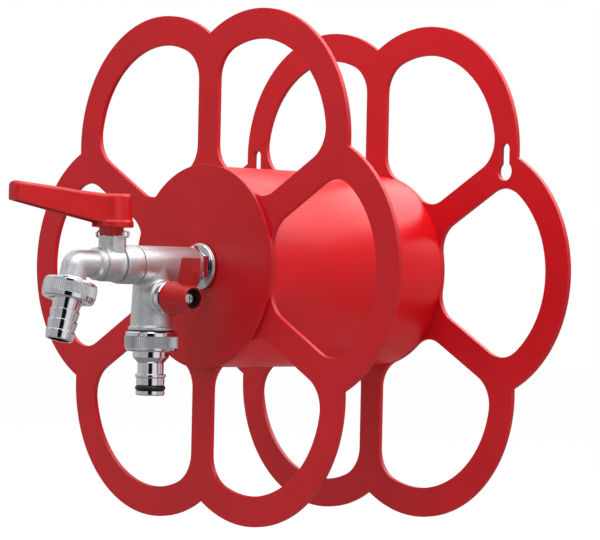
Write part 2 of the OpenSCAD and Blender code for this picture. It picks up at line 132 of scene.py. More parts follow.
camera_data = bpy.data.cameras.new("camera")
camera_data.sensor_width = SENSOR_MM
camera_data.lens = FOCAL_PX * SENSOR_MM / FRAME_W_PX
camera = bpy.data.objects.new("camera", camera_data)
camera.matrix_world = Matrix.Translation((1.19495, -1.18194, -0.00699)) @ Matrix(
    (right, up, back)
).transposed().to_4x4()
bpy.context.scene.collection.objects.link(camera)
bpy.context.scene.camera = camera
print("lens, mm:", round(camera_data.lens, 2))

# %% [markdown]
# ## Node helpers
#
# Materials, the world and the Geometry Nodes trees are all built from nodes. A few small helpers
# keep that short: each adds a node, fills or links its inputs, and hands back what comes out.

# %% Node helpers
def node(tree, kind, values=(), **settings):
    """Adds a node, sets its properties, and fills or links its inputs by name or number."""
    made = tree.nodes.new(kind)
    for key, value in settings.items():
        setattr(made, key, value)
    for key, value in dict(values).items():
        if isinstance(value, bpy.types.NodeSocket):
            tree.links.new(value, made.inputs[key])
        else:
            made.inputs[key].default_value = value
    return made


def maths(tree, operation, first, second=0.0):
    """The result of one sum."""
    return node(tree, "ShaderNodeMath", {0: first, 1: second}, operation=operation).outputs[0]


def remap(tree, value, start, end, low, high):
    """Maps a value that runs from start to end onto low to high, and stops at both."""
    values = {0: value, 1: start, 2: end, 3: low, 4: high}
    return node(tree, "ShaderNodeMapRange", values).outputs[0]


def tint(tree, share, one, other):
    """A colour between two, by share."""
    return node(tree, "ShaderNodeMix", {0: share, 6: one, 7: other}, data_type="RGBA").outputs[2]


def choose(tree, share, one, other):
    """A shader between two, by share."""
    return node(tree, "ShaderNodeMixShader", {0: share, 1: one, 2: other}).outputs[0]


def grey(level):
    """A neutral colour."""
    return (level, level, level, 1)


# %% [markdown]
# ## Studio
#
# The holder hangs in white surroundings. Polished metal only looks polished when it has something
# darker to mirror. A real studio stands screens round the object for that, and here they are part
# of the world: it is white above and darker below, with a grey screen at each side and one narrow
# black screen behind the camera. A Light Path node keeps them apart from the rest, so the camera
# sees plain white and the paint gets an even, weak light from all round.

# %% World
AMBIENT = 0.28
LEVEL_GREY, ABOVE_GREY, BELOW_GREY = grey(0.54), grey(1.0), grey(0.24)
ABOVE_FROM, ABOVE_FULL = 0.2, 0.65
BELOW_FROM, BELOW_FULL = -0.15, -0.6
SCREEN_END = 0.04
# Middle, half width and soft edge in degrees of azimuth, half height and colour of each screen.
SCREENS = [
    (-5, 30, 4, 0.75, grey(0.44)),
    (86, 16, 4, 0.7, grey(0.85)),
    (47.5, 16, 0.8, 0.5, (0.006, 0.006, 0.014, 1)),
]

scene = bpy.context.scene
scene.view_settings.view_transform = "Standard"
world = bpy.data.worlds.new("studio")
scene.world = world
world.use_nodes = True
sky = world.node_tree
sky.nodes.clear()

toward = node(sky, "ShaderNodeTexCoord").outputs["Generated"]
x, y, z = node(sky, "ShaderNodeSeparateXYZ", {0: toward}).outputs
azimuth = maths(sky, "ARCTAN2", x, maths(sky, "MULTIPLY", y, -1.0))


def screen(middle, half_width, soft, half_height):
    """1 where a screen stands in the surroundings and 0 elsewhere, with a soft edge."""
    aside = maths(sky, "ABSOLUTE", maths(sky, "SUBTRACT", azimuth, middle))
    across = remap(sky, aside, half_width - soft, half_width + soft, 1.0, 0.0)
    low, high = half_height - SCREEN_END, half_height + SCREEN_END
    along = remap(sky, maths(sky, "ABSOLUTE", z), low, high, 1.0, 0.0)
    return maths(sky, "MULTIPLY", across, along)


def glow(colour, strength=1.0):
    """Light of that colour from the world."""
    return node(sky, "ShaderNodeBackground", {"Color": colour, "Strength": strength}).outputs[0]


mirrored = tint(sky, remap(sky, z, ABOVE_FROM, ABOVE_FULL, 0.0, 1.0), LEVEL_GREY, ABOVE_GREY)
mirrored = tint(sky, remap(sky, z, BELOW_FROM, BELOW_FULL, 0.0, 1.0), mirrored, BELOW_GREY)
for middle, half_width, soft, half_height, colour in SCREENS:
    stands = screen(radians(middle), radians(half_width), radians(soft), half_height)
    mirrored = tint(sky, stands, mirrored, colour)

rays = node(sky, "ShaderNodeLightPath").outputs
white = glow(grey(1.0))
shown = choose(sky, rays["Is Glossy Ray"], glow(grey(1.0), AMBIENT), glow(mirrored))
shown = choose(sky, rays["Is Transmission Ray"], shown, white)
shown = choose(sky, rays["Is Camera Ray"], shown, white)
node(sky, "ShaderNodeOutputWorld", {"Surface": shown})
print("world:", len(sky.nodes), "nodes,", len(SCREENS), "screens")

# %% [markdown]
# Big soft lamps give the paint its even look. One hangs overhead and one behind, whose mirror
# image is the bright band along the drum. A small one stands above the room between the plates, so
# that the rear plate comes out a little lighter than the front one. The other two fill the
# shadows. Metal mirrors neither them nor the small one, because they would leave hard white squares
# in it.

# %% Lamps
DRUM_MIDDLE = Vector((0, -0.08, 0))
# Name, place, width and height in metres, watts, and whether metal mirrors it.
LAMPS = [
    ("overhead", (0.35, -0.5, 1.15), 1.8, 1.8, 13.5, True),
    ("between", (0.15, -0.17, 0.55), 0.5, 0.2, 2.3, False),
    ("front_left", (-0.5, -1.9, 0.8), 0.9, 1.4, 6.5, False),
    ("right", (1.9, -0.3, 0.7), 0.9, 1.4, 9.5, False),
    ("behind", (0.2, 0.95, 0.9), 1.7, 0.8, 13, True),
]
for name, spot, width, height, watts, in_metal in LAMPS:
    data = bpy.data.lights.new(name, "AREA")
    data.shape = "RECTANGLE"
    data.size, data.size_y, data.energy = width, height, watts
    lamp = bpy.data.objects.new(name, data)
    lamp.location = spot
    lamp.rotation_euler = (DRUM_MIDDLE - Vector(spot)).to_track_quat("-Z", "Y").to_euler()
    lamp.visible_glossy = in_metal
    scene.collection.objects.link(lamp)
print("lamps:", len(LAMPS))

# %% [markdown]
# The floor lies well below the holder, which hangs on a wall that isn't shown. To the camera it is
# nearly white by itself, and the rest of its brightness is real light, so a faint shadow stays.
# Polished metal looks through it at the surroundings, and all other light finds it a plain grey.

# %% Floor
FLOOR_Z = -0.30
FLOOR_HALF = 6.0
OWN_WHITE, LIT_GREY, PLAIN_GREY = grey(0.9), grey(0.3), grey(0.6)
floor_mesh = bpy.data.meshes.new("floor")
floor_corners = [
    (x * FLOOR_HALF, y * FLOOR_HALF, FLOOR_Z) for x, y in ((-1, -1), (1, -1), (1, 1), (-1, 1))
]
floor_mesh.from_pydata(floor_corners, [], [(0, 1, 2, 3)])
floor = bpy.data.objects.new("floor", floor_mesh)
scene.collection.objects.link(floor)

paper = bpy.data.materials.new("white_paper")
paper.use_nodes = True
tree = paper.node_tree
tree.nodes.clear()
rays = node(tree, "ShaderNodeLightPath").outputs
lit = node(tree, "ShaderNodeBsdfDiffuse", {"Color": LIT_GREY}).outputs[0]
own = node(tree, "ShaderNodeEmission", {"Color": OWN_WHITE, "Strength": 1.0}).outputs[0]
plain = node(tree, "ShaderNodeBsdfDiffuse", {"Color": PLAIN_GREY}).outputs[0]
seen = node(tree, "ShaderNodeAddShader", {0: lit, 1: own}).outputs[0]
open_below = node(tree, "ShaderNodeBsdfTransparent").outputs[0]
camera_or_glass = maths(tree, "MAXIMUM", rays["Is Camera Ray"], rays["Is Transmission Ray"])
shown = choose(tree, rays["Is Glossy Ray"], plain, open_below)
shown = choose(tree, camera_or_glass, shown, seen)
node(tree, "ShaderNodeOutputMaterial", {"Surface": shown})
floor_mesh.materials.append(paper)
print("floor at", FLOOR_Z, "m")

# %% [markdown]
# ## Finishes
#
# Each finish is a small node tree on Object coordinates, so that its grain has a real size and
# stays put on the piece. What varies over a surface comes from noise: the colour drifts between
# two near tones, the roughness between two values, and ripples in the normal make the skin. One
# helper builds all of them, and each finish below only gives its own numbers.

# %% Finish helpers
NOISE_MOSTLY = (0.3, 0.7)


def linear(red, green, blue):
    """A screen colour, 0 to 255, as the linear colour that a shader takes."""
    def one(level):
        share = level / 255
        return share / 12.92 if share <= 0.04045 else ((share + 0.055) / 1.055) ** 2.4
    return (one(red), one(green), one(blue), 1)


def finish(name, tones, tone_noise, rough, rough_noise, ripples, spread=NOISE_MOSTLY, **shader):
    """A Principled material whose colour, roughness and normal vary with noise.

    Each noise is a grain in mm and its detail, and each ripple adds a depth in mm and a strength.
    The tones change over where the noise runs through spread. Roughness always uses the range in
    which noise mostly lies."""
    material = bpy.data.materials.new(name)
    material.use_nodes = True
    tree = material.node_tree
    tree.nodes.clear()
    where = node(tree, "ShaderNodeTexCoord").outputs["Object"]

    def grain(size_mm, detail):
        values = {"Vector": where, "Scale": 1 / (size_mm * MM), "Detail": detail}
        return node(tree, "ShaderNodeTexNoise", values).outputs["Fac"]

    share = remap(tree, grain(*tone_noise), *spread, 0.0, 1.0)
    values = {key.replace("_", " "): value for key, value in shader.items()}
    values["Base Color"] = tint(tree, share, *tones)
    values["Roughness"] = remap(tree, grain(*rough_noise), *NOISE_MOSTLY, *rough)
    for size_mm, detail, depth_mm, strength in ripples:
        bump = {"Height": grain(size_mm, detail), "Distance": depth_mm * MM, "Strength": strength}
        if "Normal" in values:
            bump["Normal"] = values["Normal"]
        values["Normal"] = node(tree, "ShaderNodeBump", bump).outputs[0]
    bsdf = node(tree, "ShaderNodeBsdfPrincipled", values)
    node(tree, "ShaderNodeOutputMaterial", {"Surface": bsdf.outputs[0]})
    print("finish:", name)
    return material


# %% [markdown]
# Powder coat is sprayed on dry and melted. It sets to a satin skin with a fine orange-peel ripple,
# about a millimetre across, and pools very slightly unevenly in colour. The drum's tone is lighter
# than the plates' as painted light, for the stronger light from above that falls on it. The cover's
# tone is a little darker than the plates'.

# %% Powder coat
ORANGE_PEEL = [(1.1, 1, 0.05, 0.35), (0.35, 1, 0.015, 0.3)]


def powder_coat(name, main, shade, rough):
    """Satin powder coat with orange peel."""
    return finish(name, (linear(*main), linear(*shade)), (26, 3), (rough - 0.03, rough + 0.03),
                  (4, 2), ORANGE_PEEL, Specular_IOR_Level=0.40)


PLATE_PAINT = powder_coat("powder_coat_plate", (190, 9, 22), (183, 6, 19), 0.42)
# Painted light: the drum's red is lighter than the plates' to stand for the stronger light on it.
LIT_DRUM_PAINT = powder_coat("powder_coat_drum_painted_light", (208, 8, 20), (202, 5, 17), 0.38)
COVER_PAINT = powder_coat("powder_coat_cover", (184, 6, 18), (178, 4, 16), 0.40)

# %% [markdown]
# The tap's body is sand-cast brass, blasted and plated with satin nickel. The blasting leaves a
# fine frosted grain, with small pits, that spreads every reflection.

# %% Satin nickel
NICKEL = finish(
    "satin_nickel_casting", (linear(234, 236, 238), linear(206, 209, 212)), (1.2, 3), (0.40, 0.54),
    (1.2, 3), [(0.5, 3, 0.06, 0.6), (1.6, 2, 0.04, 0.2)], Metallic=1.0,
)

# %% [markdown]
# Nuts, the barb and the coupling nipple are turned from bar and chrome-plated. They mirror their
# surroundings, with faint rings left by the lathe. Knurls and small steel parts are duller, so the
# same rule gives them more roughness.

# %% Chrome, zinc and brass
def plated(name, one, other, rough, ripple_mm):
    """Turned and plated metal: nearly a mirror, with faint waviness."""
    return finish(name, (linear(*one), linear(*other)), (6, 3), rough, (1.5, 3),
                  [(3.0, 1, ripple_mm, 0.3)], spread=(0.0, 1.0), Metallic=1.0)


CHROME = plated("chrome_plate", (232, 232, 236), (222, 222, 228), (0.05, 0.11), 0.02)
KNURLED = plated("knurled_chrome", (222, 223, 227), (208, 209, 214), (0.42, 0.5), 0.02)
ZINC = plated("zinc_plate", (232, 233, 235), (216, 218, 221), (0.36, 0.46), 0.03)
BRASS = plated("turned_brass", (206, 170, 98), (190, 152, 84), (0.18, 0.3), 0.02)

# %% [markdown]
# The lever and the small knob are moulded in red plastic, satin from the mould's fine texture.
# Rubber and the white seals come out of a mould as well, so they share the rule.

# %% Plastic and rubber
def moulded(name, one, other, rough, texture_mm):
    """Moulded plastic or rubber with the mould's fine texture."""
    return finish(name, (linear(*one), linear(*other)), (12, 2), (rough - 0.04, rough + 0.04),
                  (2.5, 2), [(0.3, 2, texture_mm, 0.4)], Specular_IOR_Level=0.5)


LEVER_RED = moulded("lever_plastic", (189, 8, 16), (182, 6, 14), 0.36, 0.012)
# Painted shade: the lever's red made darker, for the tube's shadow on the knob.
SHADED_KNOB_RED = moulded("knob_plastic_painted_shade", (172, 5, 12), (166, 4, 10), 0.36, 0.012)
# Painted shade: a near-black red for the inside of the knob's recess, standing for its shadow.
RECESS_PAINTED_SHADE = moulded("recess_painted_shade", (34, 12, 12), (28, 10, 10), 0.6, 0.012)
RUBBER = moulded("black_rubber", (20, 20, 22), (14, 14, 16), 0.5, 0.02)
SEAL_WHITE = moulded("white_seal", (232, 231, 226), (224, 223, 218), 0.5, 0.01)

# %% [markdown]
# ## Mesh tools
#
# A new shape is drawn in a bmesh, which is Blender's editable mesh, and then becomes an object.
# Faces are turned outwards there, because a shell with mixed sides shades and cuts badly.

# %% New objects
def new_object(name, mesh):
    """A linked object for a mesh."""
    made = bpy.data.objects.new(name, mesh)
    scene.collection.objects.link(made)
    return made


def from_bmesh(name, bm):
    """An object from a bmesh, whose faces are turned outwards first."""
    bmesh.ops.remove_doubles(bm, verts=bm.verts, dist=0.0005)
    bmesh.ops.dissolve_degenerate(bm, edges=bm.edges, dist=0.0002)
    bmesh.ops.recalc_face_normals(bm, faces=bm.faces)
    mesh = bpy.data.meshes.new(name)
    bm.to_mesh(mesh)
    bm.free()
    return new_object(name, mesh)


def settle(piece):
    """Swaps a piece's mesh for the result of its modifiers, and takes the modifiers off."""
    view = bpy.context.evaluated_depsgraph_get()
    made = bpy.data.meshes.new_from_object(piece.evaluated_get(view))
    piece.modifiers.clear()
    old, piece.data = piece.data, made
    bpy.data.meshes.remove(old)
    made.name = piece.name
    return piece


# %% [markdown]
# Solid parts are cut and joined with booleans, which the manifold solver does fast and exactly for
# closed shells. Parts that only touch are gathered in one mesh, and each keeps its own finish.

# %% Cutting and joining
def combine(base, other, operation):
    """UNION, DIFFERENCE or INTERSECT of two closed objects. The result is in base."""
    step = base.modifiers.new("combine", "BOOLEAN")
    step.operation, step.object, step.solver = operation, other, "MANIFOLD"
    settle(base)
    bpy.data.objects.remove(other)
    return base


def gather(name, parts):
    """Several objects as one, without joining their shells. Each keeps its own finish."""
    bm = bmesh.new()
    coats = []
    for part in parts:
        own = next((m for m in part.data.materials if m), None)
        if own not in coats:
            coats.append(own)
        done = len(bm.faces)
        bm.from_mesh(part.data)
        bm.faces.ensure_lookup_table()
        for face in bm.faces[done:]:
            face.material_index = coats.index(own)
        bpy.data.objects.remove(part)
    mesh = bpy.data.meshes.new(name)
    bm.to_mesh(mesh)
    bm.free()
    for own in coats:
        mesh.materials.append(own)
    return new_object(name, mesh)


def coat(piece, material):
    """Gives the whole of a piece one finish."""
    piece.data.materials.clear()
    piece.data.materials.append(material)
    return piece


# %% [markdown]
# Most of a tap is turned, so a lathe is the tool used most. It takes a closed outline of corners,
# rounds each corner a little as a real edge is, and spins it round the axis.

# %% Lathe and bar
def soften(outline, edge, steps=3):
    """Rounds each corner of a closed outline by edge, and by less where its sides are short.

    A corner on the lathe's own axis stays as it is. A corner may hold its own edge as a third
    number."""
    made = []
    for i, corner in enumerate(outline):
        own_edge = corner[2] if len(corner) > 2 else edge
        middle = Vector(corner[:2])
        to_last = Vector(outline[i - 1][:2]) - middle
        to_next = Vector(outline[(i + 1) % len(outline)][:2]) - middle
        opening = to_last.angle(to_next)
        if middle.x < 1e-6 or own_edge == 0 or opening > radians(176):
            made.append(middle)
            continue
        reach = min(own_edge / tan(opening / 2), 0.45 * to_last.length, 0.45 * to_next.length)
        first, last = middle + to_last.normalized() * reach, middle + to_next.normalized() * reach
        for k in range(steps + 1):
            t = k / steps
            made.append(first * (1 - t) ** 2 + middle * 2 * t * (1 - t) + last * t ** 2)
    return made


def lathe(name, outline, stand, edge=0.25, segments=128, sweep=2 * pi):
    """Turns a closed outline of (radius, height) corners round local Z."""
    bm = bmesh.new()
    points = soften(outline, edge)
    whole = sweep > 2 * pi - 1e-6
    count = segments if whole else segments + 1
    rings = [
        [
            bm.verts.new((p.x * cos(sweep * k / segments), p.x * sin(sweep * k / segments), p.y))
            for p in points
        ]
        for k in range(count)
    ]
    for k in range(segments):
        near, far = rings[k], rings[(k + 1) % count]
        for i, p in enumerate(points):
            j = (i + 1) % len(points)
            if max(p.x, points[j].x) > 1e-6:
                bm.faces.new((near[i], near[j], far[j], far[i]))
    if not whole:
        bm.faces.new(rings[0])
        bm.faces.new(rings[-1])
    bm.transform(stand)
    return from_bmesh(name, bm)


def bar(stand, radius, start, end, edge=0.0):
    """A round bar or drill along local Z."""
    return lathe("bar", [(0, start), (radius, start), (radius, end), (0, end)], stand, edge, 96)


# %% [markdown]
# Flat forms are pushed from an outline. Cast and moulded pieces are joined from simple forms,
# remeshed finely and melted a little, which fills their inner corners as a pattern maker does.

# %% Prism, hexagon and casting
UPRIGHT = Matrix.Identity(4)


def prism(name, outline, start, end, stand):
    """An outline of (x, y) corners, pushed along local Z from start to end."""
    bm = bmesh.new()
    low = [bm.verts.new((x, y, start)) for x, y in outline]
    high = [bm.verts.new((x, y, end)) for x, y in outline]
    bm.faces.new(low)
    bm.faces.new(high)
    for i in range(len(outline)):
        j = (i + 1) % len(outline)
        bm.faces.new((low[i], low[j], high[j], high[i]))
    bm.transform(stand)
    return from_bmesh(name, bm)


def hexagon_corners(corner_r, turn=30):
    """The corners of a hexagon, the first of them at turn degrees."""
    angles = [radians(turn + 60 * k) for k in range(6)]
    return [(corner_r * cos(a), corner_r * sin(a)) for a in angles]


def break_edges(piece, width, angle):
    """Bevels the edges at which a piece turns by more than angle degrees."""
    bevel = piece.modifiers.new("edges", "BEVEL")
    bevel.width, bevel.segments = width, 2
    bevel.limit_method, bevel.angle_limit = "ANGLE", radians(angle)
    return settle(piece)


def hexagon(name, corner_r, start, end, rim, stand, bore):
    """A bored hexagon bar whose corners are turned down at both rims."""
    made = prism(name, hexagon_corners(corner_r), start, end, UPRIGHT)
    rim_r, full_r = corner_r - 2 * rim, corner_r + 0.1
    turned_down = lathe(
        "rims",
        [(0, start), (rim_r, start), (full_r, start + rim), (full_r, end - rim), (rim_r, end),
         (0, end)],
        UPRIGHT, 0,
    )
    combine(made, turned_down, "INTERSECT")
    combine(made, bar(UPRIGHT, bore, start - 1, end + 1), "DIFFERENCE")
    break_edges(made, 0.16, 18)
    made.data.transform(stand)
    return made


def blend_solid(name, parts, cuts, voxel, rounds):
    """Joins parts, takes the cuts out, and melts all corners a little, as a casting has them."""
    base = parts[0]
    base.name = name
    for part in parts[1:]:
        combine(base, part, "UNION")
    for cut in cuts:
        combine(base, cut, "DIFFERENCE")
    remesh = base.modifiers.new("remesh", "REMESH")
    remesh.mode, remesh.voxel_size = "VOXEL", voxel
    melt = base.modifiers.new("melt", "SMOOTH")
    melt.factor, melt.iterations = 0.5, rounds
    return settle(base)


# %% [markdown]
# Every piece ends the same way: turned into metres, shaded smooth except at sharp edges, coated,
# and set on the body that carries it, in place of the solid that it stands for.

# %% Finishing a piece
made_pieces = {}


def complete(piece, name, material, body, replaced, sharp=32, weighted=True):
    """Turns a piece into metres, shades it, gives it its finish and sets it on its body.

    With no finish given, the piece keeps those that its parts brought along."""
    piece.name = name
    piece.data.name = name
    piece.data.transform(Matrix.Scale(MM, 4))
    piece.data.shade_smooth()
    if sharp:
        piece.data.set_sharp_from_angle(angle=radians(sharp))
    if weighted:
        flat = piece.modifiers.new("flat_faces", "WEIGHTED_NORMAL")
        flat.keep_sharp = True
        settle(piece)
    if material:
        coat(piece, material)
    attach(piece, body)
    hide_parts(replaced)
    made_pieces[name] = len(piece.data.polygons)
    print(name, len(piece.data.polygons), "faces")
    return piece


# %% [markdown]
# ## Geometry Nodes helpers
#
# What repeats round an axis or winds along it is left to Geometry Nodes. Each tree has named
# inputs, so the count or the height of a ridge can be changed in one place. An input is set by its
# socket's identifier, and the result is kept as a plain mesh, because an export drops instances.

# %% Node tree tools
KINDS = {
    "number": "NodeSocketFloat", "count": "NodeSocketInt",
    "material": "NodeSocketMaterial", "geometry": "NodeSocketGeometry",
}


def new_tree(name, inputs):
    """A Geometry Nodes tree that takes a geometry and the named inputs."""
    tree = bpy.data.node_groups.new(name, "GeometryNodeTree")
    for label, kind in [("Geometry", "geometry"), *inputs]:
        tree.interface.new_socket(label, in_out="INPUT", socket_type=KINDS[kind])
    tree.interface.new_socket("Geometry", in_out="OUTPUT", socket_type=KINDS["geometry"])
    return tree, tree.nodes.new("NodeGroupInput").outputs


def copies_round(tree, points, piece, step, **more):
    """Copies of a piece on points, each turned one step further round Z."""
    index = node(tree, "GeometryNodeInputIndex").outputs[0]
    turn = node(tree, "ShaderNodeCombineXYZ", {"Z": maths(tree, "MULTIPLY", index, step)})
    values = {"Points": points, "Instance": piece, "Rotation": turn.outputs[0], **more}
    return node(tree, "GeometryNodeInstanceOnPoints", values).outputs[0]


def lift_onto(tree, piece, height, base):
    """Moves a piece up by height and joins it to the base."""
    lift = node(tree, "ShaderNodeCombineXYZ", {"Z": height}).outputs[0]
    moved = node(tree, "GeometryNodeTransform", {"Geometry": piece, "Translation": lift})
    joined = node(tree, "GeometryNodeJoinGeometry", {"Geometry": moved.outputs[0]})
    tree.links.new(base, joined.inputs["Geometry"])
    return joined.outputs[0]


def end_tree(tree, geometry, material):
    """Ends a tree: copies become real, get their material and leave."""
    real = node(tree, "GeometryNodeRealizeInstances", {"Geometry": geometry}).outputs[0]
    coated = node(tree, "GeometryNodeSetMaterial", {"Geometry": real, "Material": material})
    node(tree, "NodeGroupOutput", {0: coated.outputs[0]})
    print("tree", tree.name, "has", len(tree.nodes), "nodes")
    return tree


def run_tree(piece, tree, values):
    """Runs a tree on a piece with these input values, and keeps the plain mesh."""
    step = piece.modifiers.new(tree.name, "NODES")
    step.node_group = tree
    for item in tree.interface.items_tree:
        if item.in_out == "INPUT" and item.name in values:
            step[item.identifier] = values[item.name]
    return settle(piece)


# %% [markdown]
# ## Petal plates
#
# A plate is laser-cut from 3 mm sheet, and its edges are broken before it is coated. It has a
# sixfold rule, so one sixth is drawn and a Geometry Nodes tree sets six of them round the axis.
# The sixth is a strip between the window and the outside, drawn column by column: each column is
# one direction seen from the petal's centre, where a line meets the window and the outside edge.
# Windows could be cut from a disc with booleans instead. Drawn this way, the mesh runs along every
# edge, so all edges can be broken evenly and shade cleanly.

# %% Rule of a petal
EDGE = 0.3
EDGE_STEPS = 3
OPENING_R = PETAL_R - RIM_W
WEB_R = DRUM_R + 0.1
HALF_STEP = pi / PETALS
centre = Vector((PETAL_PITCH_R, 0))
spoke = Vector((cos(HALF_STEP), sin(HALF_STEP)))
off_spoke = Vector((sin(HALF_STEP), -cos(HALF_STEP)))

outer_off = SPOKE_W / 2 + OUTER_FILLET
outer_run = centre.dot(spoke) + sqrt(
    (OPENING_R - OUTER_FILLET) ** 2 - (outer_off - centre.dot(off_spoke)) ** 2
)
outer_corner = outer_run * spoke + outer_off * off_spoke
inner_off = SPOKE_W / 2 + INNER_FILLET
inner_run = sqrt((WEB_R + INNER_FILLET) ** 2 - inner_off ** 2)
inner_corner = inner_run * spoke + inner_off * off_spoke


def cusp_at(radius):
    """Where two petals of that radius meet, as a distance from the drum's axis."""
    aside = PETAL_PITCH_R * sin(HALF_STEP)
    return PETAL_PITCH_R * cos(HALF_STEP) + sqrt(radius ** 2 - aside ** 2)


def direction(point):
    """The direction of a point as seen from the petal's centre."""
    seen = point - centre
    return atan2(seen.y, seen.x)


def ray_to_circle(ray, middle, radius, near=False):
    """How far a line from the petal's centre goes before it meets a circle."""
    along = (middle - centre).dot(ray)
    spare = sqrt(max(0.0, radius ** 2 - (middle - centre).length_squared + along ** 2))
    return along - spare if near else along + spare


print("cusp at", round(cusp_at(PETAL_R), 2), "mm")

# %% [markdown]
# Seen from the petal's centre, the window's edge changes its form four times: the big arc, the
# fillet beside the spoke, the spoke, the inner fillet and the hub. The directions at which it
# changes are worked out first, and then one function gives the edge in any direction.

# %% Edges of a petal
A_CUSP = direction(cusp_at(PETAL_R) * spoke)
A_OUTER_IN = atan2(outer_corner.y, outer_corner.x - PETAL_PITCH_R)
A_OUTER_OUT = direction(outer_corner - OUTER_FILLET * off_spoke)
A_INNER_IN = direction(inner_corner - INNER_FILLET * off_spoke)
A_INNER_OUT = direction(inner_corner.normalized() * WEB_R)
changes = (A_OUTER_IN, A_OUTER_OUT, A_INNER_IN, A_INNER_OUT)
print("the window's edge changes at, degrees:", *(round(a * 180 / pi, 1) for a in changes))


def window_edge(angle):
    """The window's edge in one direction, and the way into the sheet there."""
    ray = Vector((cos(angle), sin(angle)))
    if angle <= A_OUTER_IN:
        return centre + ray * OPENING_R, ray
    if angle <= A_OUTER_OUT:
        point = centre + ray * ray_to_circle(ray, outer_corner, OUTER_FILLET)
        return point, (point - outer_corner).normalized()
    if angle <= A_INNER_IN:
        far = (SPOKE_W / 2 - centre.dot(off_spoke)) / ray.dot(off_spoke)
        return centre + ray * far, -off_spoke
    if angle <= A_INNER_OUT:
        point = centre + ray * ray_to_circle(ray, inner_corner, INNER_FILLET)
        return point, (point - inner_corner).normalized()
    point = centre + ray * ray_to_circle(ray, Vector((0, 0)), WEB_R, near=True)
    return point, -point.normalized()


def outside_edge(angle, a_hub, hub_r):
    """The sixth's outer edge in one direction, and how far its corner is broken, as a vector."""
    ray = Vector((cos(angle), sin(angle)))
    if angle < A_CUSP - 1e-9:
        return centre + ray * PETAL_R, -ray * EDGE
    if angle <= A_CUSP + 1e-9:
        return cusp_at(PETAL_R) * spoke, (cusp_at(PETAL_R - EDGE) - cusp_at(PETAL_R)) * spoke
    if angle < a_hub - 1e-9:
        far = -(centre.x * spoke.y - centre.y * spoke.x) / (ray.x * spoke.y - ray.y * spoke.x)
        return centre + ray * far, Vector((0, 0))
    point = centre + ray * ray_to_circle(ray, Vector((0, 0)), hub_r, near=True)
    return point, point.normalized() * EDGE


# %% [markdown]
# A column is the sheet's section in one direction: a loop of points with its four corners broken.
# Neighbouring columns are joined by faces. The sides where the next sixth follows stay open.

# %% One sixth of a plate
COLUMN_STEP = radians(1.5)


def column_angles(a_hub):
    """Directions from 0 to 180 degrees, with one at each place where the outline changes."""
    marks = sorted([0, A_OUTER_IN, A_CUSP, A_OUTER_OUT, A_INNER_IN, a_hub, A_INNER_OUT, pi])
    angles = [0.0]
    for low, high in zip(marks, marks[1:]):
        parts = max(1, round((high - low) / COLUMN_STEP))
        angles += [low + (high - low) * k / parts for k in range(1, parts + 1)]
    return angles


def column(angle, a_hub, hub_r, flip):
    """The sheet's section in one direction: a loop of points, with its four corners broken."""
    window, into = window_edge(angle)
    outside, broken = outside_edge(angle, a_hub, hub_r)
    drop = EDGE if broken.length > 0 else 0.0
    bends = [pi / 2 * k / EDGE_STEPS for k in range(EDGE_STEPS + 1)]
    loop = [(window + into * EDGE * (1 - cos(b)), PLATE_T - EDGE + EDGE * sin(b)) for b in bends]
    loop += [(outside + broken * (1 - cos(b)), PLATE_T - drop + drop * sin(b)) for b in bends[::-1]]
    loop += [(outside + broken * (1 - cos(b)), drop - drop * sin(b)) for b in bends]
    loop += [(window + into * EDGE * (1 - cos(b)), EDGE - EDGE * sin(b)) for b in bends[::-1]]
    return [(p.x, flip * p.y, z) for p, z in loop]


def plate_sixth(name, hub_r):
    """The part of a plate that belongs to one petal, open along its two cut sides."""
    a_hub = direction(hub_r * spoke)
    angles = column_angles(a_hub)
    turns = [(a, 1) for a in angles] + [(a, -1) for a in angles[-2:0:-1]]
    bm = bmesh.new()
    loops = [[bm.verts.new(p) for p in column(a, a_hub, hub_r, flip)] for a, flip in turns]
    side = EDGE_STEPS + 1
    for i, (a, _) in enumerate(turns):
        j = (i + 1) % len(turns)
        low, high = sorted((a, turns[j][0]))
        cut = low > A_CUSP - 1e-9 and high < a_hub + 1e-9
        for k in range(4 * side):
            if cut and side <= k < 3 * side - 1:
                continue
            m = (k + 1) % (4 * side)
            bm.faces.new((loops[i][k], loops[i][m], loops[j][m], loops[j][k]))
    return from_bmesh(name, bm)


# %% [markdown]
# Six copies of the sixth stand round the axis, each a step further, and are welded where their
# open sides meet. Copying a true sixth keeps every petal alike.

# %% Six sixths round the axis
WELD = 0.005


def repeat_round():
    """A tree that sets copies of its geometry round Z and welds them where they meet."""
    tree, given = new_tree("repeat_round", [("Copies", "count"), ("Finish", "material")])
    points = node(tree, "GeometryNodePoints", {"Count": given["Copies"]}).outputs[0]
    step = maths(tree, "DIVIDE", 2 * pi, given["Copies"])
    copies = copies_round(tree, points, given["Geometry"], step)
    real = node(tree, "GeometryNodeRealizeInstances", {"Geometry": copies}).outputs[0]
    welded = node(tree, "GeometryNodeMergeByDistance", {"Geometry": real, "Distance": WELD})
    return end_tree(tree, welded.outputs[0], given["Finish"])


ROUND = repeat_round()


def petal_plate(name, hub_r, stand):
    """A whole plate, with its faces turned outwards."""
    sixth = plate_sixth(name, hub_r)
    run_tree(sixth, ROUND, {"Copies": PETALS, "Finish": PLATE_PAINT})
    bm = bmesh.new()
    bm.from_mesh(sixth.data)
    bm.transform(stand)
    bpy.data.objects.remove(sixth)
    return from_bmesh(name, bm)


# %% [markdown]
# The rear plate hangs on two screws. A keyhole takes the screw's head at its round entry, and the
# plate then drops so that the shank rides up the slot. Only this plate has them, so a boolean cuts
# them after the plate is made.

